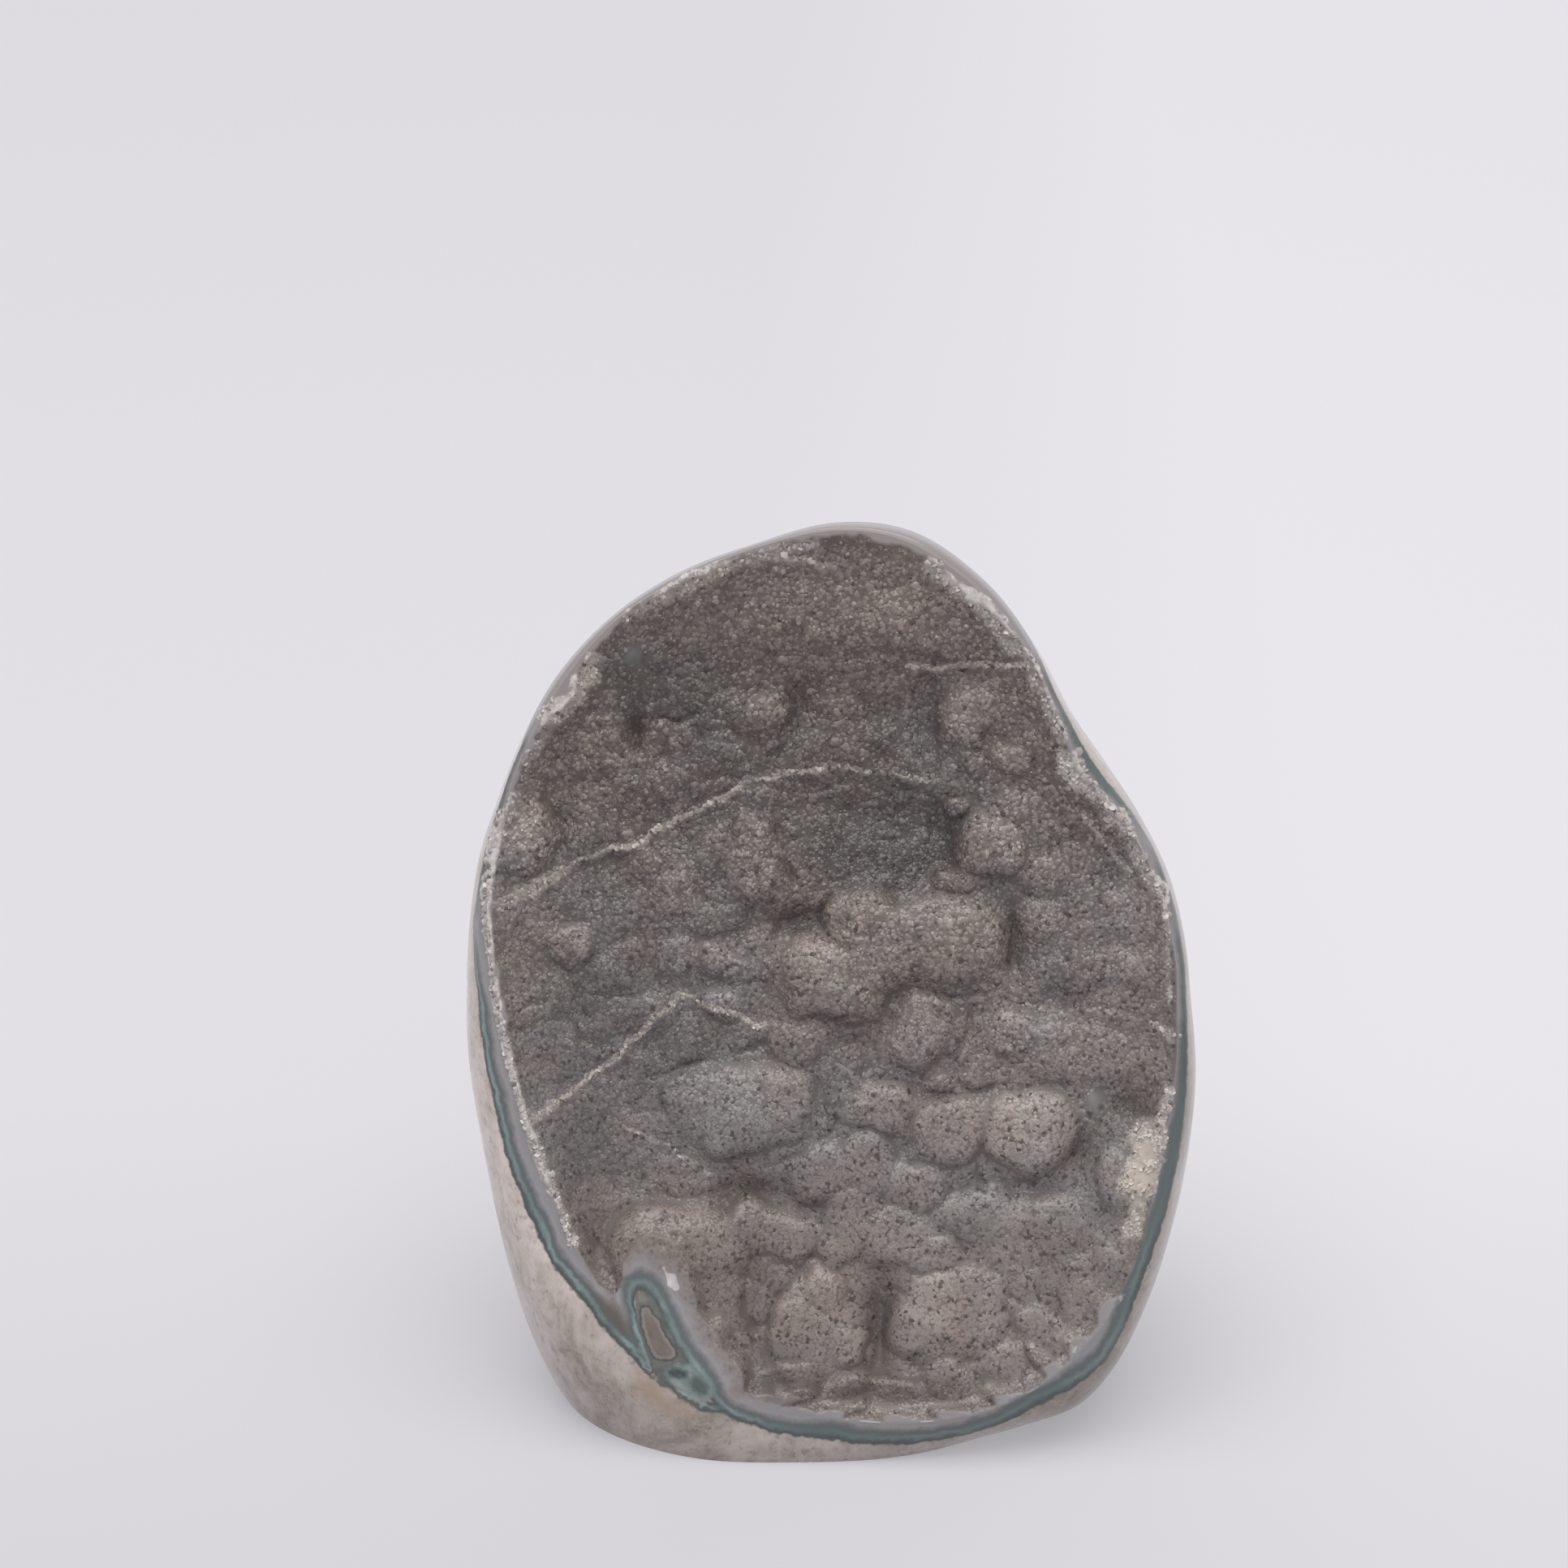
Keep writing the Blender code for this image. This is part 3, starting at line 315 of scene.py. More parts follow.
# The middle of the teal band as it is seen from the camera, from the upper left down round the tongue to
# the upper right: across, up, half its width, and how teal it is from 0, grey, to 1.
BAND_LINE = (
    (-46.6, 34.5, 0.2, 0.0), (-50.4, 23.0, 0.25, 0.0), (-52.0, 15.5, 0.35, 0.3), (-52.9, 10.0, 0.45, 0.7),
    (-52.7, 5.0, 0.6, 1.0), (-52.0, 0.0, 0.7, 1.0), (-51.4, -5.0, 0.8, 1.0), (-50.7, -10.0, 0.85, 1.0),
    (-49.6, -15.0, 0.9, 1.0), (-48.5, -20.0, 0.95, 1.0), (-47.2, -25.0, 1.0, 1.0), (-45.2, -30.0, 1.0, 1.0),
    (-42.9, -35.0, 0.95, 1.0), (-40.6, -40.0, 0.95, 1.0), (-37.6, -43.6, 0.95, 1.0),
    (-35.3, -46.1, 0.95, 1.0), (-33.5, -49.0, 0.95, 1.0), (-31.7, -51.1, 0.9, 1.0),
    (-29.9, -52.8, 0.85, 1.0), (-28.1, -54.5, 0.8, 1.0),
    # Round the loop on the tongue.
    (-26.7, -56.8, 0.4, 1.0), (-27.1, -55.4, 0.6, 1.0), (-27.7, -53.6, 0.8, 1.0), (-28.3, -51.8, 0.85, 1.0),
    (-28.9, -49.8, 0.75, 1.0), (-29.3, -48.0, 0.6, 1.0), (-29.8, -46.2, 0.7, 0.9),
    (-29.9, -44.7, 0.95, 0.7), (-29.4, -43.6, 1.2, 0.6), (-28.5, -43.2, 1.3, 0.6),
    (-27.3, -43.5, 1.25, 0.65), (-26.0, -44.5, 1.15, 0.8), (-25.0, -46.0, 1.1, 1.0),
    (-24.2, -47.7, 1.1, 1.0), (-23.4, -49.5, 1.1, 1.0), (-22.5, -51.3, 1.1, 1.0), (-21.6, -53.0, 1.1, 1.0),
    (-20.5, -54.7, 1.1, 1.0), (-19.4, -56.2, 1.15, 1.0), (-18.1, -57.7, 1.15, 1.0),
    (-17.1, -59.2, 1.05, 1.0), (-16.8, -60.7, 0.95, 1.0), (-15.2, -62.3, 0.9, 0.95),
    (-13.0, -63.4, 0.9, 0.9),
    # Along the bottom and up the right side.
    (-9.0, -64.6, 0.95, 0.9), (-4.5, -65.4, 1.0, 0.8), (0.0, -65.6, 1.4, 0.6), (4.0, -66.2, 1.1, 0.7),
    (10.0, -66.6, 1.1, 0.85), (15.0, -66.2, 1.05, 0.85), (20.0, -65.2, 1.15, 0.8), (25.0, -63.5, 1.3, 0.75),
    (30.0, -60.7, 1.3, 0.75), (35.4, -57.8, 1.35, 0.75), (40.1, -54.4, 1.5, 0.85), (42.6, -49.7, 1.3, 0.8),
    (44.3, -44.8, 1.3, 0.8), (46.6, -38.4, 1.3, 0.75), (48.9, -31.4, 1.3, 0.7), (50.6, -24.3, 1.3, 0.6),
    (51.6, -17.1, 1.05, 0.5), (52.0, -12.1, 0.8, 0.35), (52.1, -6.2, 0.55, 0.25), (52.1, -1.0, 0.45, 0.2),
    (51.7, 5.0, 0.45, 0.2), (50.8, 10.7, 0.4, 0.2), (48.8, 17.4, 0.4, 0.2), (46.7, 22.2, 0.45, 0.25),
    (44.2, 26.2, 0.5, 0.3), (41.0, 30.0, 0.6, 0.35), (38.1, 33.3, 0.7, 0.4), (36.1, 37.0, 0.5, 0.3),
    (34.4, 40.6, 0.35, 0.15), (32.4, 44.6, 0.25, 0.1),
)
BAND_OVER_TOP = (math.radians(56.0), math.radians(141.5))  # from where to where it runs over the top
# There, at its ends and between them: the share of the way from the rim to the widest outline, and half its
# width.
BAND_TOP_SHARE = (0.3, 0.8)
BAND_TOP_WIDTH = (0.3, 0.9)
BAND_BRANCH = (
    (-25.3, -58.3, 0.35, 1.0), (-23.8, -58.8, 0.55, 1.0), (-22.2, -59.9, 0.6, 1.0),
    (-20.5, -61.0, 0.6, 1.0), (-19.2, -61.8, 0.6, 1.0), (-17.8, -62.1, 0.6, 1.0), (-16.0, -62.3, 0.6, 1.0),
)
# How pale the middle of the band is: across, up, reach, and from 0 to 1. Elsewhere it is dark.
PALE = (
    (-50.0, -12.0, 24.0, 0.85), (-38.0, -40.0, 13.0, 0.85), (-28.5, -52.0, 4.0, 1.3),
    (-26.9, -56.2, 2.5, 1.3), (-25.0, -47.2, 1.2, 0.9), (-22.6, -51.0, 3.0, 0.55), (-20.0, -56.0, 2.6, 1.0),
    (-21.5, -60.4, 4.0, 1.3), (-14.0, -63.0, 5.0, 0.7), (18.0, -65.0, 16.0, 0.3), (40.0, -54.0, 6.0, 0.7),
    (46.0, -41.0, 5.0, 0.4),
)

# Markings on the tongue, as they are seen from the camera: their outlines.
PATCHES = {
    "olive": ((-35.1, -45.6), (-32.6, -46.4), (-30.9, -47.6), (-30.2, -49.4), (-29.8, -51.0),
              (-31.1, -51.2), (-32.8, -49.3)),
    "inside": ((-28.9, -45.4), (-28.2, -44.7), (-27.2, -44.9), (-26.1, -46.0), (-25.3, -47.6),
               (-24.5, -49.2), (-23.2, -51.9), (-22.2, -53.7), (-21.3, -55.3), (-21.4, -57.4),
               (-23.8, -58.2), (-25.3, -59.1), (-25.9, -57.6), (-26.3, -56.2), (-27.0, -54.4),
               (-27.8, -52.2), (-28.5, -49.6), (-29.0, -47.2)),
    "nook": ((-28.6, -45.3), (-27.8, -45.1), (-27.0, -45.9), (-27.3, -46.4), (-28.5, -46.4)),
    "core": ((-28.1, -47.2), (-27.0, -47.1), (-26.5, -48.2), (-25.6, -49.0), (-25.1, -50.3), (-24.3, -51.8),
             (-23.2, -53.3), (-22.9, -54.4), (-23.7, -54.9), (-25.0, -54.9), (-26.2, -54.6), (-26.8, -53.2),
             (-27.5, -51.2), (-28.0, -49.4)),
    "pool": ((-24.9, -56.6), (-22.8, -55.6), (-20.8, -55.6), (-19.0, -57.2), (-17.5, -58.7), (-17.2, -60.4),
             (-18.4, -61.3), (-20.4, -60.6), (-22.2, -59.2), (-24.2, -58.2)),
    "pit": ((-24.3, -56.7), (-23.4, -56.2), (-22.0, -56.5), (-20.9, -57.0), (-21.2, -57.6), (-22.6, -57.8),
            (-23.8, -57.5)),
    "low_pit": ((-20.8, -57.9), (-19.9, -57.4), (-18.8, -58.2), (-17.9, -59.3), (-18.2, -60.2),
                (-19.4, -60.2), (-20.6, -59.3)),
    "pale_line": ((-24.3, -57.7), (-22.8, -57.9), (-21.4, -59.1), (-19.6, -60.6), (-18.2, -61.3),
                  (-18.3, -61.9), (-20.0, -61.4), (-21.8, -60.1), (-23.4, -58.8)),
    "crack": ((-27.8, -56.1), (-26.3, -57.5), (-25.9, -56.5), (-25.6, -56.6), (-26.1, -58.1),
              (-27.0, -57.7)),
    "chip": ((-24.9, -40.9), (-24.2, -42.0), (-22.9, -42.1), (-22.4, -44.5), (-22.9, -44.7), (-24.0, -44.0),
             (-24.3, -42.7)),
    "pink": ((-15.2, -58.9), (-13.1, -58.8), (-12.2, -60.0), (-14.5, -60.5)),
    "rusty": ((-29.0, -57.6), (-26.5, -58.2), (-24.0, -60.6), (-21.0, -62.6), (-22.0, -63.6),
              (-26.0, -62.0), (-28.8, -60.0)),
}

FAR_AWAY = 9.0  # beyond all edges of the markings

# How fine the meshes are.
GRID = 0.2  # the spacing at which the height of the face is worked out
LATTICE = 0.75  # the spacing of the vertices of the face
FINE_LATTICE = 0.32  # where the polish has cut the lobes
SPOKES = 780  # how many vertices go round the rim and each ring behind it
SHOULDER_RINGS = 40
BACK_RINGS = 22
CELLS = 64  # how many cells a table of random numbers has each way before it repeats
SHARP_ANGLE = math.radians(50.0)  # edges that bend more than this stay sharp

# The quartz points.
POINT_PITCH = 0.5
POINT_RADIUS = 0.35
CRUST_PITCH = 0.46
CRUST_RADIUS = 0.36
CRUST_LINE_RADIUS = 0.29  # on the healed fractures
CRUST_TILT = 0.6
ROUNDED = 0.8  # the share of the points that are blunt and round
DARK = 0.11  # the share that are dark
QUARTZ_IOR = 1.54

# Lighter and darker parts of the druse: across, up, half width, half height, and by how much.
# Besides the druse's own tone they hold painted shade in recesses and along the bottom of the hollow, and
# painted light on some of the lumps.
TONE_AND_SHADE_SPOTS = (
    (0.0, 30.0, 60.0, 26.0, -0.05), (6.0, 21.0, 13.0, 7.0, -0.3), (5.0, 36.0, 15.0, 5.0, -0.19),
    (-22.0, 44.0, 15.0, 8.0, -0.23), (-23.0, 25.0, 10.0, 7.0, -0.1), (-36.0, 0.0, 9.0, 12.0, -0.14),
    (-31.0, 18.0, 10.0, 7.0, -0.09), (-24.0, -12.0, 16.0, 5.0, -0.09), (-22.0, -7.5, 8.0, 3.0, -0.1),
    (-36.0, -27.0, 7.0, 7.0, -0.12), (3.0, -12.0, 9.0, 4.0, -0.08), (-9.0, -33.5, 22.0, 4.0, -0.08),
    (34.0, 5.0, 6.0, 5.0, -0.08), (45.0, -18.0, 5.0, 3.0, -0.2), (7.0, -60.0, 20.0, 2.6, -0.27),
    (-8.0, -58.5, 5.0, 4.0, -0.14), (-2.0, 26.0, 14.0, 6.0, -0.04), (37.0, -4.0, 12.0, 9.0, 0.04),
    (-13.0, -46.0, 4.0, 9.0, -0.1), (-25.0, -46.0, 8.0, 10.0, -0.14), (8.0, 17.0, 9.0, 3.5, -0.1),
    (17.6, 22.5, 2.0, 4.0, -0.12), (34.0, -44.0, 12.0, 12.0, -0.05), (10.0, 57.0, 26.0, 9.0, 0.03),
    (28.0, -24.0, 8.0, 8.0, 0.12), (22.0, -50.0, 9.0, 6.0, 0.11), (4.0, -44.0, 6.0, 4.0, 0.1),
    (6.0, -36.0, 12.0, 6.0, 0.09), (45.0, 11.0, 4.0, 8.0, 0.12), (-15.0, 28.0, 4.0, 4.0, -0.1),
    (-5.0, 12.0, 4.0, 3.0, 0.08), (39.0, -44.0, 5.0, 7.0, 0.05), (24.5, 22.0, 5.0, 5.0, 0.04),
    (-46.0, 23.0, 5.0, 8.0, 0.1),
)
# Specks of dark mineral: the pitch at which they are scattered, and the seed.
SPECKS = ((1.5, 51), (1.1, 52))
TONGUE = ((-29.0, -38.0), (-24.0, -46.0), (-14.0, -58.0))  # along its ridge, where the points are worn low
TONGUE_REACH = 8.0

BAND_SPAN = 6.0  # the colours across the band run this far to either side of its middle
# Across the band: from -1 to 1 in half widths, beyond that in millimetres.
BAND_TEAL = (
    (-6.0, (136, 129, 128)), (-4.4, (136, 131, 131)), (-3.0, (138, 134, 135)), (-2.4, (140, 137, 139)),
    (-1.9, (144, 141, 144)), (-1.6, (130, 128, 130)), (-1.2, (110, 111, 112)), (-0.9, (92, 97, 98)),
    (-0.5, (88, 100, 99)), (-0.1, (94, 107, 106)), (0.3, (90, 102, 101)), (0.6, (80, 90, 90)),
    (0.85, (72, 80, 80)), (1.0, (76, 78, 76)), (1.25, (112, 106, 101)), (1.6, (150, 141, 135)),
    (6.0, (158, 148, 141)),
)
BAND_GREY = (
    (-6.0, (134, 127, 125)), (-4.0, (134, 129, 129)), (-2.7, (134, 128, 129)), (-2.2, (131, 127, 128)),
    (-1.5, (116, 112, 113)), (-1.1, (100, 100, 99)), (-0.6, (84, 94, 94)), (0.0, (74, 85, 86)),
    (0.5, (68, 77, 78)), (0.9, (74, 78, 78)), (1.2, (94, 93, 91)), (1.6, (128, 125, 123)),
    (6.0, (146, 142, 139)),
)
# The colours of the druse from its darkest grains to its lightest, where it is grey and where it is brown.
GREY_DRUSE = ((0.0, (98, 95, 93)), (0.25, (120, 116, 114)), (0.85, (148, 144, 142)), (1.0, (178, 175, 174)))
BROWN_DRUSE = ((0.0, (99, 87, 81)), (0.25, (122, 109, 103)), (0.85, (151, 138, 131)), (1.0, (182, 170, 164)))
WHITE_CRUST = ((0.0, (150, 143, 139)), (1.0, (194, 188, 184)))
YELLOW_CRUST = ((0.0, (178, 167, 157)), (1.0, (204, 193, 182)))
SMOOTH_CRUST = ((0.0, (150, 144, 141)), (0.5, (182, 176, 172)), (1.0, (206, 201, 198)))
PEPPER_COLOUR = (62, 52, 50)
ROCK_CLOUDS = (
    (0.3, (132, 124, 115)), (0.42, (168, 160, 152)), (0.5, (192, 183, 178)), (0.58, (200, 190, 186)),
    (0.7, (214, 205, 201)),
)
ROCK_MOTTLE = (
    (0.32, (208, 202, 196)), (0.46, (238, 235, 232)), (0.56, (248, 246, 244)), (0.68, (255, 252, 250)),
)
# How the markings are painted, in this order: the width of the edge, the colour, and how much it covers.
STAINS = (
    ("rusty", 1.8, (146, 125, 104), 0.8), ("olive", 0.9, (88, 83, 74), 0.9),
    ("pink", 1.0, (122, 103, 102), 0.6),
)
PITS = (
    ("pit", 0.35, (60, 66, 66), 0.95), ("low_pit", 0.4, (76, 86, 81), 0.9),
    ("pale_line", 0.25, (140, 147, 144), 0.85), ("crack", 0.15, (88, 84, 80), 0.8),
)
DULL_LOOP = ((0.35, (80, 85, 83)), (0.65, (106, 107, 103)))
CLOUDED_POOL = ((0.35, (98, 112, 110)), (0.65, (124, 138, 135)))
STAINED_CORE = ((0.3, (98, 88, 82)), (0.7, (120, 110, 104)))

# The floor, which rises into a backdrop, and the light. Sizes are in metres.
FLOOR_HALF = 4.0
FLOOR_BACK = 1.4  # where the bend into the backdrop begins
FLOOR_BEND = 1.2  # its radius
FLOOR_COLOUR = (0.30, 0.294, 0.309, 1.0)
GLOW_COLOUR = (0.723, 0.708, 0.745, 1.0)
# From the front to the backdrop: how far on the way, and how strongly the floor glows.
FLOOR_GLOW = ((0.0, 0.276), (0.1, 0.304), (0.17, 0.385), (0.24, 0.485), (0.5, 0.535), (1.0, 0.63))
LOW_LIGHT = (0.72, 0.71, 0.74, 1.0)
HIGH_LIGHT = (1.0, 1.0, 1.0, 1.0)
WORLD_STRENGTH = 0.85
SOFTBOX_SIZE = 1.2
SOFTBOX_WATTS = 14.0
SOFTBOX_PLACE = (-0.08, -0.25, 1.3)
SOFTBOX_AIM = (0.0, 0.0, 0.05)

# The camera.
IMAGE_SIZE = 1932
LENS = 100.0
SENSOR = 36.0
AIM_PIXEL = (1025.0, 1222.0)  # where the middle of the face falls in the photograph
LOOK_DOWN = math.radians(26.0)
DISTANCE = 0.644


def closed_curve(points, steps=24):
    """A smooth closed curve through the points."""
    here = np.array(points, float)
    before, after, beyond = (np.roll(here, shift, axis=0) for shift in (1, -1, -2))
    t = np.linspace(0.0, 1.0, steps, endpoint=False)[:, None]
    spans = [
        b + 0.5 * t * (c - a + t * (2 * a - 5 * b + 4 * c - d + t * (3 * b - a - 3 * c + d)))
        for a, b, c, d in zip(before, here, after, beyond)
    ]
    return np.concatenate(spans)


def radius_at(points, angle):
    """How far the closed curve through the points is from the middle of the face, at each angle."""
    curve = closed_curve(points)
    turn = np.arctan2(curve[:, 1], curve[:, 0])
    return np.interp(angle, turn, np.hypot(curve[:, 0], curve[:, 1]), period=2 * math.pi)


def inside_rim(across, up):
    """How far each place is inside the rim."""
    return radius_at(RIM, np.arctan2(up, across)) - np.hypot(across, up)


def in_world(across, up, out):
    """Points of the face as metres in the frame of the stone."""
    return (FACE_MIDDLE + np.stack([across, up, out], axis=-1) @ FACE_AXES) * MM


def on_face(world):
    """The (across, up, out) of points that are in metres in the frame of the stone."""
    return (world / MM - FACE_MIDDLE) @ FACE_AXES.T


def blot(across, up, a, u, half_width, half_height):
    """How near each place is to the middle of a soft spot, from 0 to 1."""
    return np.exp(-(((across - a) / half_width) ** 2) - ((up - u) / half_height) ** 2)


def noise(across, up, size, seed):
    """Smooth random values from -1 to 1 that change over about the given size."""
    table = np.random.default_rng(seed).uniform(-1.0, 1.0, (CELLS, CELLS))
    x, y = across / size + 500.0, up / size + 500.0
    i, j = np.floor(x).astype(int), np.floor(y).astype(int)
    x, y = x - i, y - j
    x, y = x * x * (3 - 2 * x), y * y * (3 - 2 * y)
    corner = [[table[(i + a) % CELLS, (j + b) % CELLS] for b in (0, 1)] for a in (0, 1)]
    left = corner[0][0] * (1 - y) + corner[0][1] * y
    right = corner[1][0] * (1 - y) + corner[1][1] * y
    return left * (1 - x) + right * x


def cells_near(across, up, pitch, jitter):
    """Gives, one by one, the nine cells round each place, and how far away the cell's own point is."""
    column, row = np.floor(across / pitch).astype(int), np.floor(up / pitch).astype(int)
    for i in (column - 1, column, column + 1):
        for j in (row - 1, row, row + 1):
            cell = (i % CELLS, j % CELLS)
            apart = np.hypot((i + jitter[0][cell]) * pitch - across, (j + jitter[1][cell]) * pitch - up)
            yield cell, apart


def beads(across, up, pitch, rise, seed):
    """How far a close crowd of small round lumps stands up."""
    random = np.random.default_rng(seed)
    jitter = random.uniform(0.1, 0.9, (2, CELLS, CELLS))
    scale = random.uniform(0.35, 1.0, (CELLS, CELLS))
    highest = np.zeros(across.shape)
    for cell, apart in cells_near(across, up, pitch, jitter):
        reach = apart / (pitch * (0.5 + 0.45 * scale[cell]))
        highest = np.maximum(highest, rise * scale[cell] * (1.0 - reach**2))
    return highest


def bowl(across, up):
    """The floor of the hollow under the lobes."""
    out = -BOWL_DEPTH * (1.0 - np.exp(-np.maximum(inside_rim(across, up), 0.0) / BOWL_RUN))
    share = np.ones(across.shape)
    for *spot, deeper in HOLLOWS:
        share += deeper * blot(across, up, *spot)
    return out * share


def near_line(across, up, points):
    """The signed distance of each place from an open line, and how far along the line it is, from 0 to 1."""
    line = np.array(points)
    nearest = np.full(across.shape, np.inf)
    signed = np.zeros(across.shape)
    along = np.zeros(across.shape)
    spans = len(line) - 1
    for i, (start, end) in enumerate(zip(line[:-1], line[1:])):
        run = end - start
        t = np.clip(((across - start[0]) * run[0] + (up - start[1]) * run[1]) / (run @ run), 0.0, 1.0)
        apart_across = across - start[0] - t * run[0]
        apart_up = up - start[1] - t * run[1]
        apart = np.hypot(apart_across, apart_up)
        side = np.sign(run[1] * apart_across - run[0] * apart_up)
        closer = apart < nearest
        nearest = np.where(closer, apart, nearest)
        signed = np.where(closer, side * apart, signed)
        along = np.where(closer, (i + t) / spans, along)
    return signed, along


def crevices(across, up):
    """How far the crevices between the lobes lower the face."""
    depth = np.zeros(across.shape)
    for half_width, deep, points in CREVICES:
        apart, along = near_line(across, up, points)
        tapered = deep * np.clip(0.3 + 4.0 * np.minimum(along, 1.0 - along), 0.0, 1.0)
        depth = np.maximum(depth, tapered * np.exp(-((apart / half_width / CREVICE_BREADTH) ** 2)))
    uneven = np.clip(0.55 + 1.3 * noise(across, up, 4.2, 9), 0.0, 1.4)
    return CREVICE_DEPTH * depth * uneven


def ledges(across, up):
    """How far the healed fractures lower the face."""
    drop = np.zeros(across.shape)
    for depth, _, points in FRACTURES:
        below, along = near_line(across, up, points)
        weight = np.sin(math.pi * along) ** 0.5
        step = 0.5 + 0.5 * np.tanh(below / LEDGE_RUN)
        drop -= depth * weight * step * np.exp(-np.maximum(below, 0.0) / LEDGE_FADE)
    return drop


def strayed(coordinate, across, up, seed):
    """One coordinate of each place, moved a little, so that the lumps stray from round."""
    broad = WARP * noise(across, up, WARP_SIZE, seed)
    return coordinate + broad + FINE_WARP * WARP * noise(across, up, FINE_WARP_SIZE, seed + 1)


def lobe_height(lobe, across, up):
    """How far out one lobe is at each place, and how far that is from its middle, with its edge at 1."""
    a, u, half_length, half_width, turn, top, drop = lobe
    cosine, sine = math.cos(math.radians(turn)), math.sin(math.radians(turn))
    along = (across - a) * cosine + (up - u) * sine
    beside = (up - u) * cosine - (across - a) * sine
    reach = np.hypot(along / half_length, beside / half_width)
    fall = np.where(reach < 1.0, reach**LOBE_STEEPNESS, 1.0 + LOBE_STEEPNESS * (reach - 1.0))
    return top - drop * fall, reach


def grown_height(across, up):
    """How far the lumps reach from the plane of the rim before the polish cuts them, and whether each place
    is on a lobe that stands out from the rest, from 0 to 1."""
    warped = strayed(across, across, up, 1), strayed(up, across, up, 3)
    floor = bowl(across, up)
    fillers = sum(beads(*warped, *tier) for tier in FILLERS)
    highest = (floor + fillers * np.clip(-floor / BOWL_DEPTH, 0.0, 1.0)) * LUMP_SHARPNESS
    proud = np.zeros(across.shape)
    for lobe in LOBES:
        height, reach = lobe_height(lobe, *warped)
        height = height * LUMP_SHARPNESS
        share = 1.0 / (1.0 + np.exp(np.clip(highest - height, -50.0, 50.0)))
        apart = np.clip((lobe[-1] - 3.4) / 1.4, 0.0, 1.0) * np.clip((1.15 - reach) / 0.2, 0.0, 1.0)
        proud += (apart - proud) * share
        highest = np.logaddexp(highest, height)
    knobbly = np.clip(0.75 + up / 160.0 - across / 160.0 + 0.3 * noise(across, up, 14.0, 5), 0.45, 1.2)
    small = sum(beads(*warped, *tier) for tier in BEADS) * knobbly
    sunk = crevices(across + 0.5 * noise(across, up, 3.0, 7), up + 0.5 * noise(across, up, 3.0, 8))
    lumps = highest / LUMP_SHARPNESS + ledges(across, up) - sunk + small
    return lumps + 0.25 * noise(across, up, 3.6, 6) - 0.4, proud


def softened(grid, size):
    """The grid of values, blurred over about the given size."""
    waves = [np.fft.fftfreq(n, GRID) for n in grid.shape]
    fade = np.exp(-2.0 * (math.pi * size) ** 2 * (waves[0][:, None] ** 2 + waves[1][None, :] ** 2))
    return np.fft.ifft2(np.fft.fft2(grid) * fade).real


class Relief:
    """The height of the face and what follows from it, worked out once on a fine square grid."""

    def __init__(self):
        reach = np.abs(np.array(OUTLINE)).max(axis=0)
        self.across = np.arange(-reach[0], reach[0], GRID)
        self.up = np.arange(-reach[1], reach[1], GRID)
        across, up = np.meshgrid(self.across, self.up, indexing="ij")
        floor = bowl(across, up)
        lumps, proud = grown_height(across, up)
        lumps -= floor
        broad = softened(lumps, LUMP_BREADTH)
        self.grown = floor + broad + LUMP_RELIEF * (lumps - broad)
        self.proud = softened(proud, PROUD_BREADTH)
        self.height = np.minimum(self.grown, 0.0)
        self.slope_across, self.slope_up = np.gradient(self.height, GRID)
        # Painted shading: how far each place stands out from the blur round it, the blur taken from a little
        # higher up so that the painted shade falls under the lumps.
        over = np.roll(softened(self.height, CREST_BREADTH), -round(PAINTED_SHADE_LEAN / GRID), axis=1)
        wide = self.height - softened(self.height, WIDE_CREST_BREADTH)
        self.painted_shading = self.height - over + WIDE_CREST * wide

    def at(self, grid, across, up):
        """The values of one of the grids at any places."""
        x = np.clip((across - self.across[0]) / GRID, 0, len(self.across) - 1.001)
        y = np.clip((up - self.up[0]) / GRID, 0, len(self.up) - 1.001)
        i, j = x.astype(int), y.astype(int)
        x, y = x - i, y - j
        low = grid[i, j] * (1 - x) + grid[i + 1, j] * x
        high = grid[i, j + 1] * (1 - x) + grid[i + 1, j + 1] * x
        return low * (1 - y) + high * y

    def slopes(self, across, up):
        """How steeply the face rises at any places, across and up."""
        return self.at(self.slope_across, across, up), self.at(self.slope_up, across, up)


def side_depth(angle):
    """How far behind the rim the stone is widest."""
    return SIDE_DEPTH - SIDE_DEPTH_SWING * np.sin(angle)


def side_place(angle, shoulder, back):
    """Places on the polished side. Shoulder runs from 0 at the rim to 1 where the stone is widest, and then
    back runs from 0 to 1 in the middle of the back."""
    sine, cosine = np.sin(angle), np.cos(angle)
    rim, widest = radius_at(RIM, angle), radius_at(OUTLINE, angle)
    undulation = 0.22 + 0.16 * noise(30.0 * angle, 18.0 * (shoulder + 2.0 * back), 9.0, 21)
    widest = widest - undulation * shoulder
    depth = side_depth(angle)
    bend = 0.5 * math.pi * shoulder
    reach = rim + (widest - rim) * np.sin(bend)
    rounding = EDGE_ROUNDING * np.exp(-(((shoulder - 0.12) / 0.115) ** 2))
    across, up, out = cosine * reach, sine * reach, -depth * (1.0 - np.cos(bend)) - rounding
    boxiness = BACK_BESIDE + sine**2 * (np.where(sine > 0, BACK_ABOVE, BACK_BELOW) - BACK_BESIDE)
    bend = 0.5 * math.pi * back
    inward = np.cos(bend) ** boxiness
    backward = np.sin(bend) ** boxiness
    egg = 1.0 / np.hypot(cosine / BACK_EGG[0], sine / BACK_EGG[1])
    evened = widest + (egg - widest) * np.sin(bend)
    behind = back > 0
    across = np.where(behind, BACK_MIDDLE[0] + (cosine * evened - BACK_MIDDLE[0]) * inward, across)
    up = np.where(behind, BACK_MIDDLE[1] + (sine * evened - BACK_MIDDLE[1]) * inward, up)
    out = np.where(behind, -depth + (BACK_MIDDLE[2] + BACK_WEAR + depth) * backward, out)
    return across, up, out


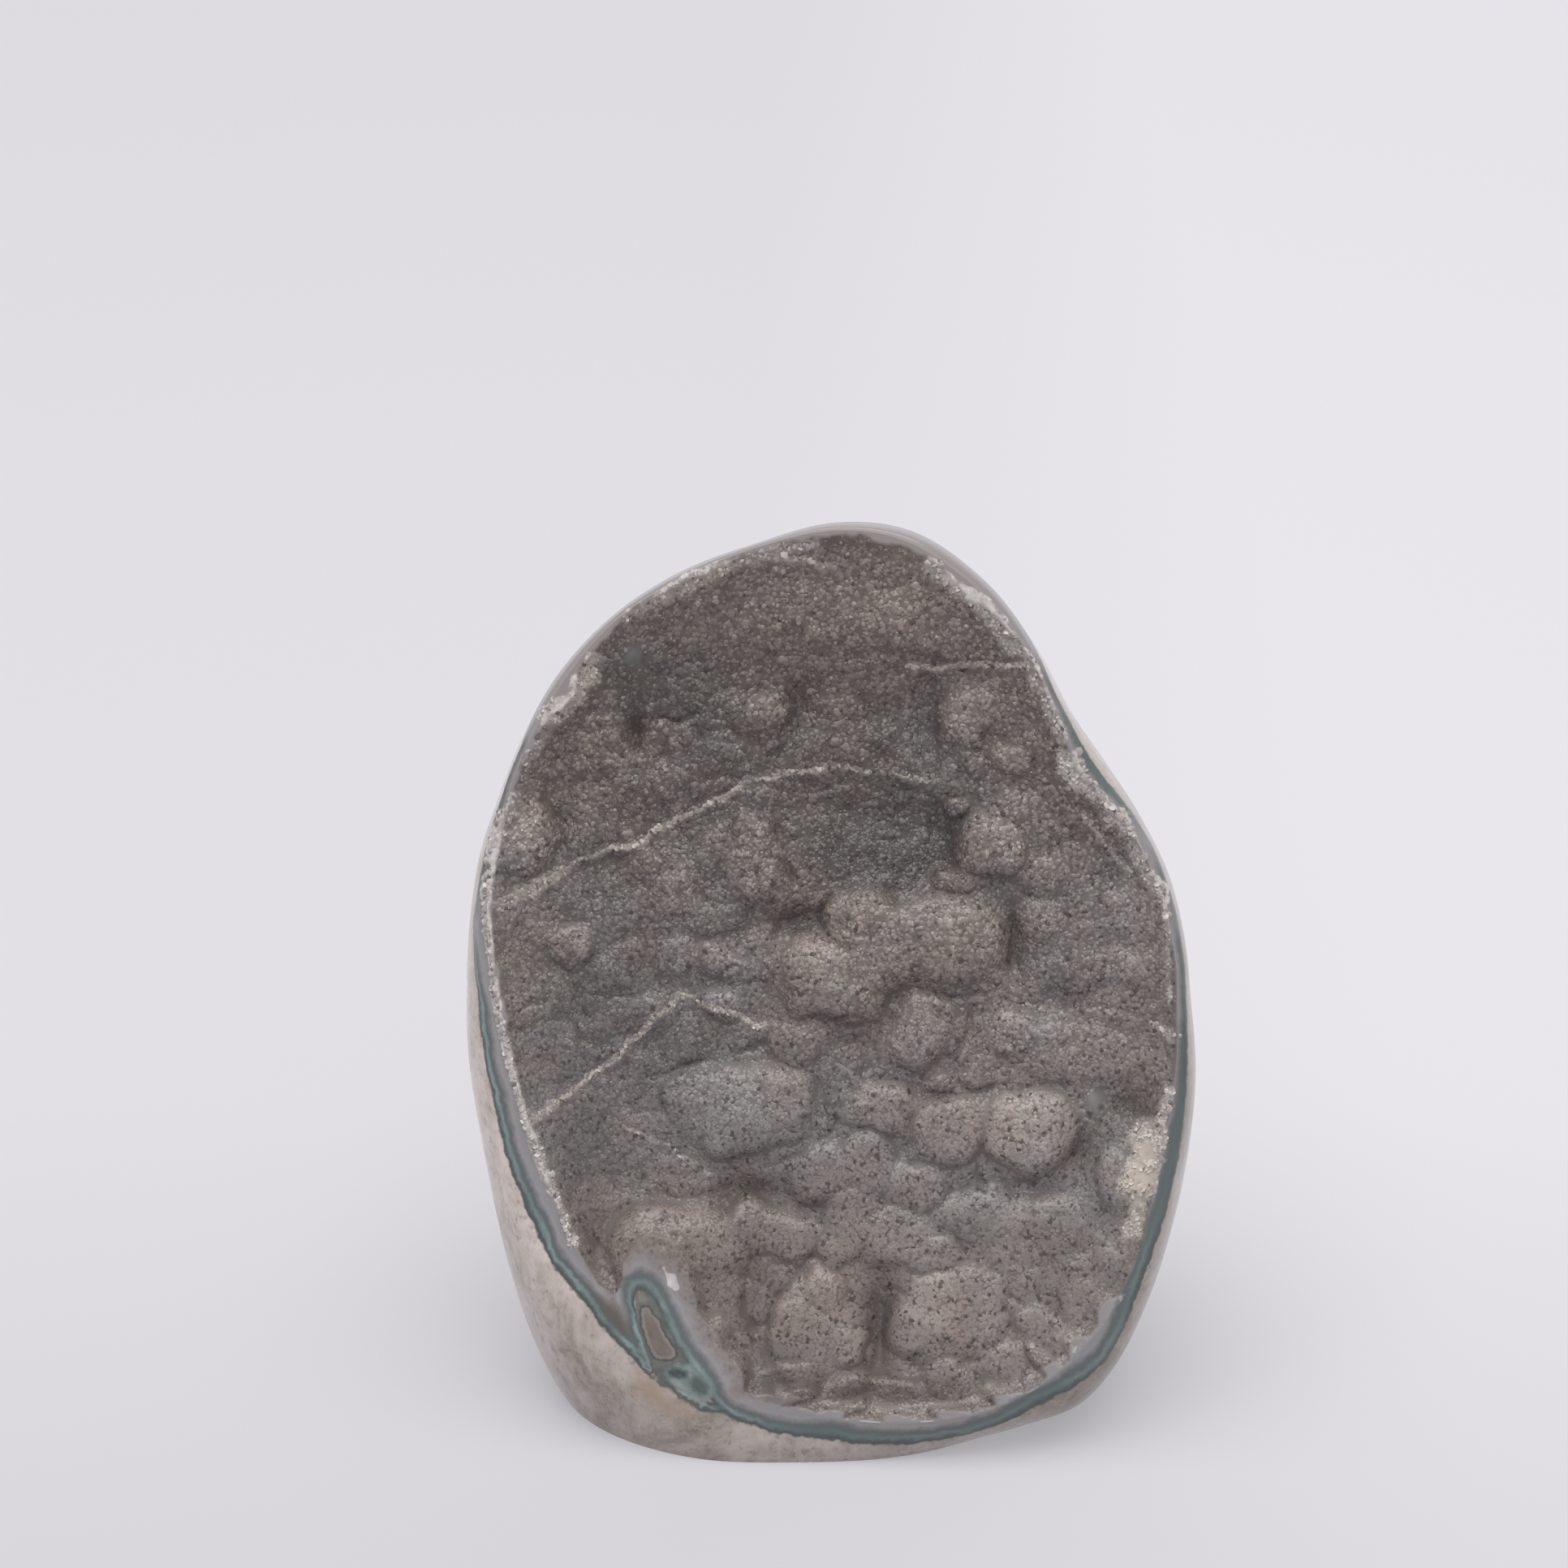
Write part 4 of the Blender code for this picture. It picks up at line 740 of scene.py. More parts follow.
def lattice_places(pitch, margin):
    """Evenly spaced places at least so far inside the rim, in rows of equilateral triangles."""
    row = pitch * math.sqrt(3.0) / 2.0
    reach = float(np.abs(np.array(RIM)).max()) - min(margin, 0.0)
    rows = int(reach / row) + 1
    columns = int(reach / pitch) + 1
    up, across = np.meshgrid(np.arange(-rows, rows + 1), np.arange(-columns, columns + 1), indexing="ij")
    across = (across + 0.5 * (up % 2)) * pitch
    up = up * row
    keep = inside_rim(across, up) > margin
    return across[keep], up[keep]


def mesh_from(name, vertices, triangles):
    """A mesh from an array of places, in metres, and an array of triangles."""
    mesh = bpy.data.meshes.new(name)
    mesh.vertices.add(len(vertices))
    mesh.vertices.foreach_set("co", np.ascontiguousarray(vertices, np.float32).ravel())
    mesh.loops.add(triangles.size)
    mesh.loops.foreach_set("vertex_index", np.ascontiguousarray(triangles, np.int32).ravel())
    mesh.polygons.add(len(triangles))
    mesh.polygons.foreach_set("loop_start", np.arange(0, triangles.size, 3, dtype=np.int32))
    mesh.update(calc_edges=True)
    return mesh


def face_places(relief):
    """The angles of the vertices on the rim, and the (across, up) of all on the face: first those on the rim,
    then a lattice that is finer where the polish has cut the lobes."""
    angles = np.linspace(-math.pi, math.pi, SPOKES, endpoint=False)
    radii = radius_at(RIM, angles)
    places = [np.column_stack([radii * np.cos(angles), radii * np.sin(angles)])]
    for pitch in (LATTICE, FINE_LATTICE):
        across, up = lattice_places(pitch, 0.6 * pitch)
        fine = relief.at(relief.grown, across, up) > -0.7
        keep = fine if pitch == FINE_LATTICE else ~fine
        places.append(np.column_stack([across[keep], up[keep]]))
    return angles, np.concatenate(places)


def body_arrays(relief):
    """The vertices and triangles of the whole stone before it is sawn, and how many vertices are on the
    face."""
    angles, places = face_places(relief)
    flat, _, face, *_ = delaunay_2d_cdt([Vector(p) for p in places], [], [list(range(SPOKES))], 1, 1e-5)
    across, up = np.array([p.x for p in flat]), np.array([p.y for p in flat])
    out = relief.at(relief.height, across, up)
    out = np.where(relief.at(relief.grown, across, up) > 0, 0.0, out - 0.1)
    out[:SPOKES] = 0.0
    rings = [in_world(across, up, out)]
    triangles = [np.array(face)]
    on_front = len(across)
    shoulder = [(step / SHOULDER_RINGS, 0.0) for step in range(1, SHOULDER_RINGS + 1)]
    back = [(1.0, step / BACK_RINGS) for step in range(1, BACK_RINGS)]
    inner = np.arange(SPOKES)
    count = on_front
    for shoulder_share, back_share in shoulder + back:
        full = np.full(SPOKES, 1.0)
        rings.append(in_world(*side_place(angles, full * shoulder_share, full * back_share)))
        outer = count + np.arange(SPOKES)
        count += SPOKES
        triangles.append(np.stack([inner, outer, np.roll(outer, -1)], axis=1))
        triangles.append(np.stack([inner, np.roll(outer, -1), np.roll(inner, -1)], axis=1))
        inner = outer
    rings.append(in_world(*BACK_MIDDLE)[None, :])
    triangles.append(np.stack([inner, np.full(SPOKES, count), np.roll(inner, -1)], axis=1))
    return np.concatenate(rings), np.concatenate(triangles), on_front


def saw_base(mesh):
    """Cuts the stone flat where it stands."""
    bm = bmesh.new()
    bm.from_mesh(mesh)
    everything = bm.verts[:] + bm.edges[:] + bm.faces[:]
    cut = bmesh.ops.bisect_plane(
        bm, geom=everything, dist=1e-7, plane_co=(0, 0, 0), plane_no=(0, 0, 1), clear_inner=True
    )
    edges = [item for item in cut["geom_cut"] if isinstance(item, bmesh.types.BMEdge)]
    bmesh.ops.contextual_create(bm, geom=edges)
    bmesh.ops.recalc_face_normals(bm, faces=bm.faces[:])
    bm.to_mesh(mesh)
    bm.free()


def set_values(mesh, name, values):
    """Gives the mesh one number for each vertex."""
    attribute = mesh.attributes.new(name, "FLOAT", "POINT")
    attribute.data.foreach_set("value", np.ascontiguousarray(values, np.float32))


def camera_place():
    """Where the camera is, in metres."""
    return FACE_MIDDLE * MM + DISTANCE * np.array([0.0, -math.cos(LOOK_DOWN), math.sin(LOOK_DOWN)])


def as_seen(world):
    """The (across, up) at which the camera sees points against the plane of the rim."""
    eye = camera_place()
    rays = world - eye
    share = ((FACE_MIDDLE * MM - eye) @ FACE_AXES[2]) / (rays @ FACE_AXES[2])
    return on_face(eye + rays * share[:, None])[:, :2]


def nearest_on_line(places, line):
    """How far each of the places is from a line through points in space, and the line's other numbers
    there."""
    nearest = np.full(len(places), np.inf)
    values = np.zeros((len(places), line.shape[1] - 3))
    for start, end in zip(line[:-1], line[1:]):
        run = (end - start)[:3]
        offset = places - start[:3]
        t = np.clip(offset @ run / (run @ run), 0.0, 1.0)
        apart = np.linalg.norm(offset - t[:, None] * run, axis=1)
        closer = apart < nearest
        nearest[closer] = apart[closer]
        values[closer] = start[3:] + t[closer, None] * (end - start)[3:]
    return nearest, values


def is_within(places, outline):
    """Whether each place is within the closed outline."""
    within = np.zeros(len(places), bool)
    for start, end in zip(outline, np.roll(outline, -1, axis=0)):
        spans = (start[1] > places[:, 1]) != (end[1] > places[:, 1])
        rise = end[1] - start[1]
        crossing = start[0] + (places[:, 1] - start[1]) * (end[0] - start[0]) / (rise if rise else 1.0)
        within ^= spans & (places[:, 0] < crossing)
    return within


def seen_on_stone(points, tree):
    """Where the camera sees points of the rim's plane on the stone, in millimetres, and their other
    numbers."""
    eye = camera_place()
    hits = []
    for across, up, *others in points:
        aim = in_world(across, up, 0.0) - eye
        hit = tree.ray_cast(Vector(eye), Vector(aim))[0]
        if hit is not None:
            hits.append([*(np.array(hit) / MM), *others])
    return np.array(hits)


def faces_camera(mesh, vertices):
    """Whether each vertex is on the side of the stone that the camera sees."""
    normals = np.zeros(len(vertices) * 3, np.float32)
    mesh.vertex_normals.foreach_get("vector", normals)
    return np.einsum("ij,ij->i", normals.reshape(-1, 3), camera_place() - vertices) > 0


def band_over_top():
    """The band over the top of the stone: places in millimetres, half its width and how teal it is."""
    steps = 60
    turns = np.linspace(*BAND_OVER_TOP, steps)
    rise = 1.0 - np.linspace(-1.0, 1.0, steps) ** 6
    share, width = (ends + (between - ends) * rise for ends, between in (BAND_TOP_SHARE, BAND_TOP_WIDTH))
    places = in_world(*side_place(turns, share, np.zeros(steps))) / MM
    return np.column_stack([places, width, np.zeros(steps)])


def set_band(mesh, vertices):
    """Gives each vertex its distance from the middle of the teal band, negative towards the hollow, and the
    band's half width and how teal it is there."""
    tree = BVHTree.FromPolygons([Vector(v) for v in vertices], [p.vertices[:] for p in mesh.polygons])
    line = seen_on_stone(BAND_LINE, tree)
    loop = np.concatenate([line, band_over_top(), line[:1]])
    places = vertices / MM
    far, values = nearest_on_line(places, loop)
    hollow = is_within(as_seen(vertices), as_seen(loop[:-1, :3] * MM)) & faces_camera(mesh, vertices)
    branch, branch_values = nearest_on_line(places, seen_on_stone(BAND_BRANCH, tree))
    forked = ~hollow & (branch < far)
    values[forked] = branch_values[forked]
    set_values(mesh, "band", np.where(hollow, -far, np.minimum(far, branch)))
    set_values(mesh, "band_width", values[:, 0])
    set_values(mesh, "teal", values[:, 1])


def set_pale(mesh, vertices):
    """Gives each vertex how pale the middle of the band is there, from 0 to 1."""
    seen = as_seen(vertices)
    pale = np.zeros(len(vertices))
    for across, up, reach, amount in PALE:
        apart = (seen[:, 0] - across) ** 2 + (seen[:, 1] - up) ** 2
        pale = np.maximum(pale, amount * np.exp(-(apart / reach**2)))
    set_values(mesh, "pale", pale)


def set_patches(mesh, vertices):
    """Gives each vertex its distance from the edge of each marking, negative inside it. Those that the camera
    doesn't see are given as far away."""
    seen = as_seen(vertices)
    shown = faces_camera(mesh, vertices)
    for name, outline in PATCHES.items():
        closed = (*outline, outline[0])
        far = np.abs(near_line(seen[:, 0], seen[:, 1], closed)[0])
        inside = is_within(seen, np.array(outline))
        set_values(mesh, name, np.where(shown, np.where(inside, -far, far), FAR_AWAY))


def crust_strength(across, up):
    """How much white, broken quartz there is at each place, from 0 to 1."""
    ragged = 0.4 * noise(across, up, 1.2, 31) + 0.5 * noise(across, up, 3.6, 32)
    strength = np.zeros(across.shape)
    for half_width, amount, points in CRUSTS:
        apart = np.abs(near_line(across, up, points)[0]) / half_width
        strength = np.maximum(strength, amount * np.clip(1.6 - apart + ragged, 0.0, 1.0))
    return strength


def fracture_strength(across, up):
    """How pale the healed fractures make each place, from 0 to 1."""
    strength = np.zeros(across.shape)
    broken = np.clip(0.85 + 0.6 * noise(across, up, 4.0, 33), 0.4, 1.0)
    stray = 0.3 * noise(across, up, 2.2, 36) + 0.15 * noise(across, up, 0.9, 37)
    for _, amount, points in FRACTURES:
        apart, along = near_line(across, up, points)
        ends = np.clip(12.0 * np.minimum(along, 1.0 - along), 0.0, 1.0)
        strength = np.maximum(strength, amount * ends * np.exp(-(((apart + stray) / FRACTURE_WIDTH) ** 2)))
    return np.minimum(1.15 * strength * broken, 0.85)


def yellowness(across, up):
    """How yellow the white quartz is at each place, from 0 to 1."""
    strength = np.zeros(across.shape)
    for spot in YELLOW:
        strength += blot(across, up, *spot)
    return np.minimum(strength, 1.0)


def bare_strength(across, up):
    """How smooth and free of points each place is, from 0 to 1."""
    strength = np.zeros(across.shape)
    for a, u, radius in BARE:
        strength = np.maximum(strength, np.clip(1.5 - np.hypot(across - a, up - u) / radius, 0.0, 1.0))
    return strength


def warmth(across, up):
    """How brown the druse is at each place, from 0, grey, to 1."""
    patchy = 0.28 * noise(across, up, 17.0, 34) + 0.24 * noise(across, up, 6.0, 35)
    patchy += 0.2 * noise(across, up, 2.6, 40)
    low = np.clip((-28.0 - up) / 15.0, 0.0, 1.0)
    lowest = np.clip((-56.0 - up) / 4.0, 0.0, 1.0)
    return np.clip(0.53 + up / 160.0 + 0.5 * low + 0.4 * lowest + patchy, 0.0, 1.0)


def tone(across, up):
    """How light the druse is at each place, about 1, with painted shade and painted light in it."""
    light = np.full(across.shape, 1.0)
    for *spot, amount in TONE_AND_SHADE_SPOTS:
        light += amount * blot(across, up, *spot)
    return light + 0.025 * noise(across, up, 7.0, 38) + 0.03 * noise(across, up, 2.1, 39)


def specks(across, up):
    """How dark the specks of mineral make each place, from 0 to 1. They are thicker low on the face."""
    dense = np.clip(0.27 - up / 300.0 + across / 600.0, 0.05, 0.42)
    strength = np.zeros(across.shape)
    for pitch, seed in SPECKS:
        random = np.random.default_rng(seed)
        jitter = random.uniform(0.0, 1.0, (2, CELLS, CELLS))
        size = random.uniform(0.1, 0.27, (CELLS, CELLS))
        chance = random.uniform(0.0, 1.0, (CELLS, CELLS))
        for cell, apart in cells_near(across, up, pitch, jitter):
            here = np.clip(2.4 * (1.3 - apart / size[cell]), 0.0, 1.0) * (chance[cell] < dense)
            strength = np.maximum(strength, here)
    return strength


def worn(across, up):
    """How low the points are worn at each place, from 0 to 1."""
    return np.exp(-((near_line(across, up, TONGUE)[0] / TONGUE_REACH) ** 4))


def druse_values(relief, across, up):
    """The numbers from which the druse takes its colour, painted light and shade among them, at each place.
    """
    proud = relief.at(relief.proud, across, up)
    smooth = bare_strength(across, up)
    return {
        "warm": np.clip(warmth(across, up) + 0.12 * proud, 0.0, 1.0) * (1.0 - smooth),
        # Lumps that stand proud are given painted light.
        "tone": (tone(across, up) - 0.1 + 0.07 * proud + 0.12 * smooth) ** 2.2,
        # Painted shading: painted shade in crevices and under lumps, painted light on crests, less of it low
        # on the face.
        "painted_shading": relief.at(relief.painted_shading, across, up) * np.clip(0.85 + (up + 5.0) / 80.0, 0.66, 1.0),
        "cream": np.maximum(crust_strength(across, up), fracture_strength(across, up)),
        "yellow": np.maximum(yellowness(across, up), 0.8 * fracture_strength(across, up)),
        "pepper": specks(across, up) * (1.0 - 0.85 * crust_strength(across, up)),
    }


def vertex_places(mesh):
    """Where the vertices of the mesh are, in metres."""
    flat = np.zeros(len(mesh.vertices) * 3, np.float32)
    mesh.vertices.foreach_get("co", flat)
    return flat.reshape(-1, 3).astype(float)


def make_body(relief, material):
    """The whole stone as one closed mesh."""
    vertices, triangles, on_front = body_arrays(relief)
    mesh = mesh_from("stone_body", vertices, triangles)
    side = np.ones(len(vertices))
    side[SPOKES:on_front] = 0.0
    set_values(mesh, "side", side)
    saw_base(mesh)
    vertices = vertex_places(mesh)
    across, up, out = on_face(vertices).T
    side = np.zeros(len(vertices), np.float32)
    mesh.attributes["side"].data.foreach_get("value", side)
    mesh.shade_smooth()
    mesh.set_sharp_from_angle(angle=SHARP_ANGLE)
    cut_flat = np.clip(relief.at(relief.grown, across, up) / 0.25 + 0.5, 0.0, 1.0)
    set_values(mesh, "polish", np.maximum(side, cut_flat))
    set_values(mesh, "worn", (1.0 - side) * np.clip(2.0 * worn(across, up), 0.0, 1.0))
    set_band(mesh, vertices)
    set_pale(mesh, vertices)
    set_patches(mesh, vertices)
    front = np.clip((out + 4.0) / 2.0, 0.0, 1.0)
    set_values(mesh, "rim_cream", front * crust_strength(across, up))
    for name, numbers in druse_values(relief, across, up).items():
        hidden = np.where(side > 0.5, 0.0, 1.0) if name in ("cream", "pepper") else 1.0
        set_values(mesh, name, numbers * hidden)
    mesh.materials.append(material)
    return add_piece("stone_body", mesh)


def add_piece(name, mesh):
    """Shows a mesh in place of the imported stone."""
    piece = bpy.data.objects.new(name, mesh)
    bpy.context.scene.collection.objects.link(piece)
    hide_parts("stone")
    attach(piece, "root")
    return piece


def point_places(relief, pitch, random, thinned, margin=0.35):
    """Scattered places for quartz points, as dense on a steep wall as on a level one. The margin is how far
    from the rim they end. Thinned is how many places are tried for each one that is kept."""
    fine = pitch / math.sqrt(thinned)
    across, up = lattice_places(fine, margin)
    across = across + random.uniform(-0.45, 0.45, across.size) * fine
    up = up + random.uniform(-0.45, 0.45, up.size) * fine
    stretch = np.hypot(1.0, np.hypot(*relief.slopes(across, up)))
    keep = random.uniform(0.0, thinned, across.size) < stretch / coarseness(up) ** 2
    keep &= inside_rim(across, up) > margin
    keep &= (relief.at(relief.grown, across, up) < -0.12) | (inside_rim(across, up) < 0.35)
    return across[keep], up[keep]


def beyond_rim(across, up):
    """How far the polished side has curved away at places a little beyond the rim."""
    angle = np.arctan2(up, across)
    rim, widest = radius_at(RIM, angle), radius_at(OUTLINE, angle)
    share = np.clip((np.hypot(across, up) - rim) / (widest - rim), 0.0, 1.0)
    return side_depth(angle) * (1.0 - np.sqrt(1.0 - share**2)) + 3.0 * EDGE_ROUNDING * share


def unit(vectors):
    """The vectors, each made one long."""
    return vectors / np.linalg.norm(vectors, axis=-1, keepdims=True)


def coarseness(up):
    """How much larger the points are towards the top of the face."""
    return np.clip(1.0 + up / 300.0, 0.9, 1.16)


def quartz_points(relief, across, up, radius, length, random, tilt):
    """Six-sided quartz points: an array of vertices, seven for each, and one of triangles, six for each."""
    count = across.size
    out = relief.at(relief.height, across, up) - beyond_rim(across, up)
    lean = random.normal(0.0, 1.0, (count, 2)) * np.broadcast_to(tilt, count)[:, None]
    slope_across, slope_up = relief.slopes(across, up)
    normal = unit(np.stack([lean[:, 0] - slope_across, lean[:, 1] - slope_up, np.ones(count)], axis=-1))
    first = unit(np.cross(normal, unit(random.normal(0.0, 1.0, (count, 3)))))
    second = np.cross(normal, first)
    foot = np.stack([across, up, out], axis=-1) - normal * (0.25 * radius)[:, None]
    corners = []
    for side in range(6):
        turn = side * math.pi / 3.0
        spread = radius * random.uniform(0.8, 1.2, count)
        corners.append(foot + (first * math.cos(turn) + second * math.sin(turn)) * spread[:, None])
    astray = random.uniform(-0.3, 0.3, (count, 2)) * radius[:, None]
    tip = foot + normal * length[:, None] + first * astray[:, :1] + second * astray[:, 1:]
    places = np.stack([*corners, tip], axis=1)
    start = 7 * np.arange(count)[:, None]
    fan = np.array([[side, (side + 1) % 6, 6] for side in range(6)]).ravel()
    return in_world(*places.reshape(-1, 3).T), (start + fan).reshape(-1, 3)


def make_points(name, relief, shape, values, random, tilt, material):
    """One joined mesh of quartz points. The shape is where they are and their radius and length. The values
    are one number for each point, by name."""
    vertices, triangles = quartz_points(relief, *shape, random, tilt)
    mesh = mesh_from(name, vertices, triangles)
    for key, numbers in values.items():
        set_values(mesh, key, np.repeat(numbers, 7))
    rounded = random.uniform(0.0, 1.0, len(shape[0])) < ROUNDED
    mesh.polygons.foreach_set("use_smooth", np.repeat(rounded, 6))
    mesh.materials.append(material)
    return add_piece(name, mesh)


def make_druse(relief, material):
    """The skin of small quartz points, in three joined meshes from the bottom up."""
    random = np.random.default_rng(41)
    across, up = point_places(relief, POINT_PITCH, random, 2.5)
    bare = random.uniform(0.0, 1.0, across.size) < bare_strength(across, up)
    across, up = across[~bare], up[~bare]
    count = across.size
    low = worn(across, up)
    sunk = np.clip(-relief.at(relief.grown, across, up) / 1.2, 0.35, 1.0)
    radius = POINT_RADIUS * coarseness(up) * np.exp(random.normal(0.0, 0.22, count)) * sunk**0.5
    rough = np.clip(0.64 + up / 90.0, 0.14, 0.86)
    length = radius * random.uniform(0.3, 0.78, count) * (1.0 - 0.6 * low) * (0.2 + 0.8 * rough) * sunk
    grain = random.uniform(0.0, 1.0, count)
    values = {"grain": 0.5 + (grain - 0.5) * (1.0 - 0.5 * low) * rough} | druse_values(relief, across, up)
    values["warm"] = np.clip(values["warm"] + random.uniform(-0.22, 0.22, count), 0.0, 1.0)
    dark = random.uniform(0.0, 1.0, count) < DARK * np.clip(0.9 + up / 80.0, 0.3, 1.1)
    values["pepper"] = np.maximum(values["pepper"], dark * random.uniform(0.35, 0.9, count))
    for index, name in enumerate(("druse_low", "druse_middle", "druse_high")):
        low, high = np.quantile(up, [index / 3.0, (index + 1) / 3.0])
        part = (up >= low) & (up < high)
        chosen = {key: numbers[part] for key, numbers in values.items()}
        tilt = 0.16 * (0.3 + 0.7 * rough[part])
        shape = (across[part], up[part], radius[part], length[part])
        make_points(name, relief, shape, chosen, random, tilt, material)


def make_crust(relief, material):
    """The broken white crystals along the rim and on the healed fractures."""
    random = np.random.default_rng(42)
    across, up = point_places(relief, CRUST_PITCH, random, 2.0, -1.0)
    strength = crust_strength(across, up)
    line = fracture_strength(across, up)
    strong = np.maximum(strength, line) > random.uniform(0.3, 0.95, across.size)
    strong &= bare_strength(across, up) < random.uniform(0.0, 1.0, across.size)
    across, up, line = across[strong], up[strong], (line > strength)[strong]
    count = across.size
    radius = np.where(line, CRUST_LINE_RADIUS, CRUST_RADIUS) * np.exp(random.normal(0.0, 0.3, count))
    length = radius * random.uniform(0.15, 0.7, count) * (1.0 - 0.7 * yellowness(across, up))
    values = {"grain": random.uniform(0.0, 1.0, count)} | druse_values(relief, across, up)
    values["cream"] = np.maximum(values["cream"], random.uniform(np.where(line, 0.4, 0.7), 1.0))
    values["pepper"] = 0.8 * (random.uniform(0.0, 1.0, count) < 0.06)
    make_points("rim_crust", relief, (across, up, radius, length), values, random, CRUST_TILT, material)


def srgb(red, green, blue):
    """A colour from 0 to 255, as it is seen, in the linear form that shaders take."""
    return tuple(((c / 255.0 + 0.055) / 1.055) ** 2.4 for c in (red, green, blue)) + (1.0,)


class Tree:
    """The nodes of one material, made line by line."""

    def __init__(self, name):
        self.material = bpy.data.materials.new(name)
        self.material.use_nodes = True
        self.nodes = self.material.node_tree.nodes
        self.links = self.material.node_tree.links
        self.shader = self.nodes["Principled BSDF"]

    def put(self, socket, value):
        """Links a socket to another, or gives it a number or colour."""
        if isinstance(value, bpy.types.NodeSocket):
            self.links.new(value, socket)
        else:
            socket.default_value = value

    def add(self, kind, output, settings=(), **inputs):
        """Adds a node and returns one of its outputs. Inputs are given by name, with _ for a space."""
        node = self.nodes.new(kind)
        for key, value in dict(settings).items():
            setattr(node, key, value)
        for key, value in inputs.items():
            self.put(node.inputs[key.replace("_", " ")], value)
        return node.outputs[output]

    def surface(self, **inputs):
        """Sets inputs of the material's own shader. They are given by name, with _ for a space."""
        for key, value in inputs.items():
            self.put(self.shader.inputs[key.replace("_", " ")], value)

    def value(self, name):
        """The number of that name which the mesh carries."""
        return self.add("ShaderNodeAttribute", "Fac", {"attribute_name": name})

    def place(self):
        """Where each point of the piece is, in metres."""
        return self.add("ShaderNodeTexCoord", "Object")

    def along(self, axis):
        """How far along one of the axes each point of the piece is, in metres."""
        return self.add("ShaderNodeSeparateXYZ", axis, Vector=self.place())

    def noise(self, scale, detail=3.0, roughness=0.55, place=None):
        """Noise over the stone. The scale is in patches for each metre."""
        if place is None:
            place = self.place()
        return self.add(
            "ShaderNodeTexNoise", "Fac", Vector=place, Scale=scale, Detail=detail, Roughness=roughness
        )

    def math(self, operation, first, second=0.0, third=0.0):
        node = self.nodes.new("ShaderNodeMath")
        node.operation = operation
        for socket, value in zip(node.inputs, (first, second, third)):
            self.put(socket, value)
        return node.outputs[0]

    def either_way(self, value, amount):
        """The part of a value above or below a half, times an amount."""
        return self.math("MULTIPLY", self.math("SUBTRACT", value, 0.5), amount)

    def span(self, value, low, high, to_low=0.0, to_high=1.0):
        """The value, taken from one range to another and held inside it."""
        node = self.nodes.new("ShaderNodeMapRange")
        for socket, given in zip(node.inputs, (value, low, high, to_low, to_high)):
            self.put(socket, given)
        return node.outputs["Result"]

    def ramp(self, value, *stops):
        """Colours along a value. Each stop is a place from 0 to 1 and a linear colour."""
        node = self.nodes.new("ShaderNodeValToRGB")
        elements = node.color_ramp.elements
        elements[0].position, elements[0].color = stops[0]
        elements[1].position, elements[1].color = stops[-1]
        for place, colour in stops[1:-1]:
            elements.new(place).color = colour
        self.put(node.inputs["Fac"], value)
        return node.outputs["Color"]

    def colours(self, value, stops):
        """Colours along a value. Each stop is a place from 0 to 1 and a colour as it is seen."""
        return self.ramp(value, *((place, srgb(*colour)) for place, colour in stops))

    def mix(self, share, first, second, blend="MIX"):
        node = self.nodes.new("ShaderNodeMix")
        node.data_type = "RGBA"
        node.blend_type = blend
        for key, value in (("Factor", share), ("A", first), ("B", second)):
            named = (s for s in node.inputs if s.name == key and s.type in ("RGBA", "VALUE"))
            self.put(next(s for s in named if s.enabled), value)
        return next(s for s in node.outputs if s.type == "RGBA")

    def lit(self, colour, light):
        """The colour, made lighter or darker by a number."""
        grey = self.add("ShaderNodeCombineColor", "Color", Red=light, Green=light, Blue=light)
        return self.mix(1.0, colour, grey, "MULTIPLY")


def druse_colour(tree, grain):
    """The colour of the druse, with its painted light and shade, from numbers that its mesh carries."""
    grey, brown = tree.colours(grain, GREY_DRUSE), tree.colours(grain, BROWN_DRUSE)
    colour = tree.mix(tree.value("warm"), grey, brown)
    # The painted shading and the tone, which holds painted shade and painted light too, light or darken the
    # colour.
    painted_shading = tree.span(tree.value("painted_shading"), -1.3, 1.0, 0.75, 1.12)
    colour = tree.lit(colour, tree.math("MULTIPLY", painted_shading, tree.value("tone")))
    white, yellow = tree.colours(grain, WHITE_CRUST), tree.colours(grain, YELLOW_CRUST)
    white = tree.mix(tree.value("yellow"), white, yellow)
    colour = tree.mix(tree.value("cream"), colour, white)
    return tree.mix(tree.math("MULTIPLY", tree.value("pepper"), 0.9), colour, srgb(*PEPPER_COLOUR))


def band_colour(tree, band):
    """The colours of the polished agate, from the distance to the middle of its band."""
    width = tree.value("band_width")
    away = tree.math("ABSOLUTE", band)
    within = tree.math("LESS_THAN", away, width)
    scaled = tree.math("DIVIDE", away, width)
    beyond = tree.math("ADD", tree.math("SUBTRACT", away, width), 1.0)
    place = tree.math("ADD", tree.math("MULTIPLY", within, scaled),
                      tree.math("MULTIPLY", tree.math("SUBTRACT", 1.0, within), beyond))
    place = tree.math("MULTIPLY", place, tree.math("SIGN", band))
    share = tree.span(place, -BAND_SPAN, BAND_SPAN)
    teal, grey = (
        tree.colours(share, [((at + BAND_SPAN) / (2 * BAND_SPAN), colour) for at, colour in stops])
        for stops in (BAND_TEAL, BAND_GREY)
    )
    colour = tree.mix(tree.value("teal"), grey, teal)
    middle = tree.span(tree.math("ABSOLUTE", tree.math("SUBTRACT", place, 0.05)), 0.6, 0.05)
    broken = tree.span(tree.noise(260.0, 2.0), 0.3, 0.6, 0.5, 1.0)
    pale = tree.math("MULTIPLY", tree.math("MULTIPLY", middle, broken), tree.value("pale"))
    return tree.mix(pale, colour, srgb(135, 148, 147)), place


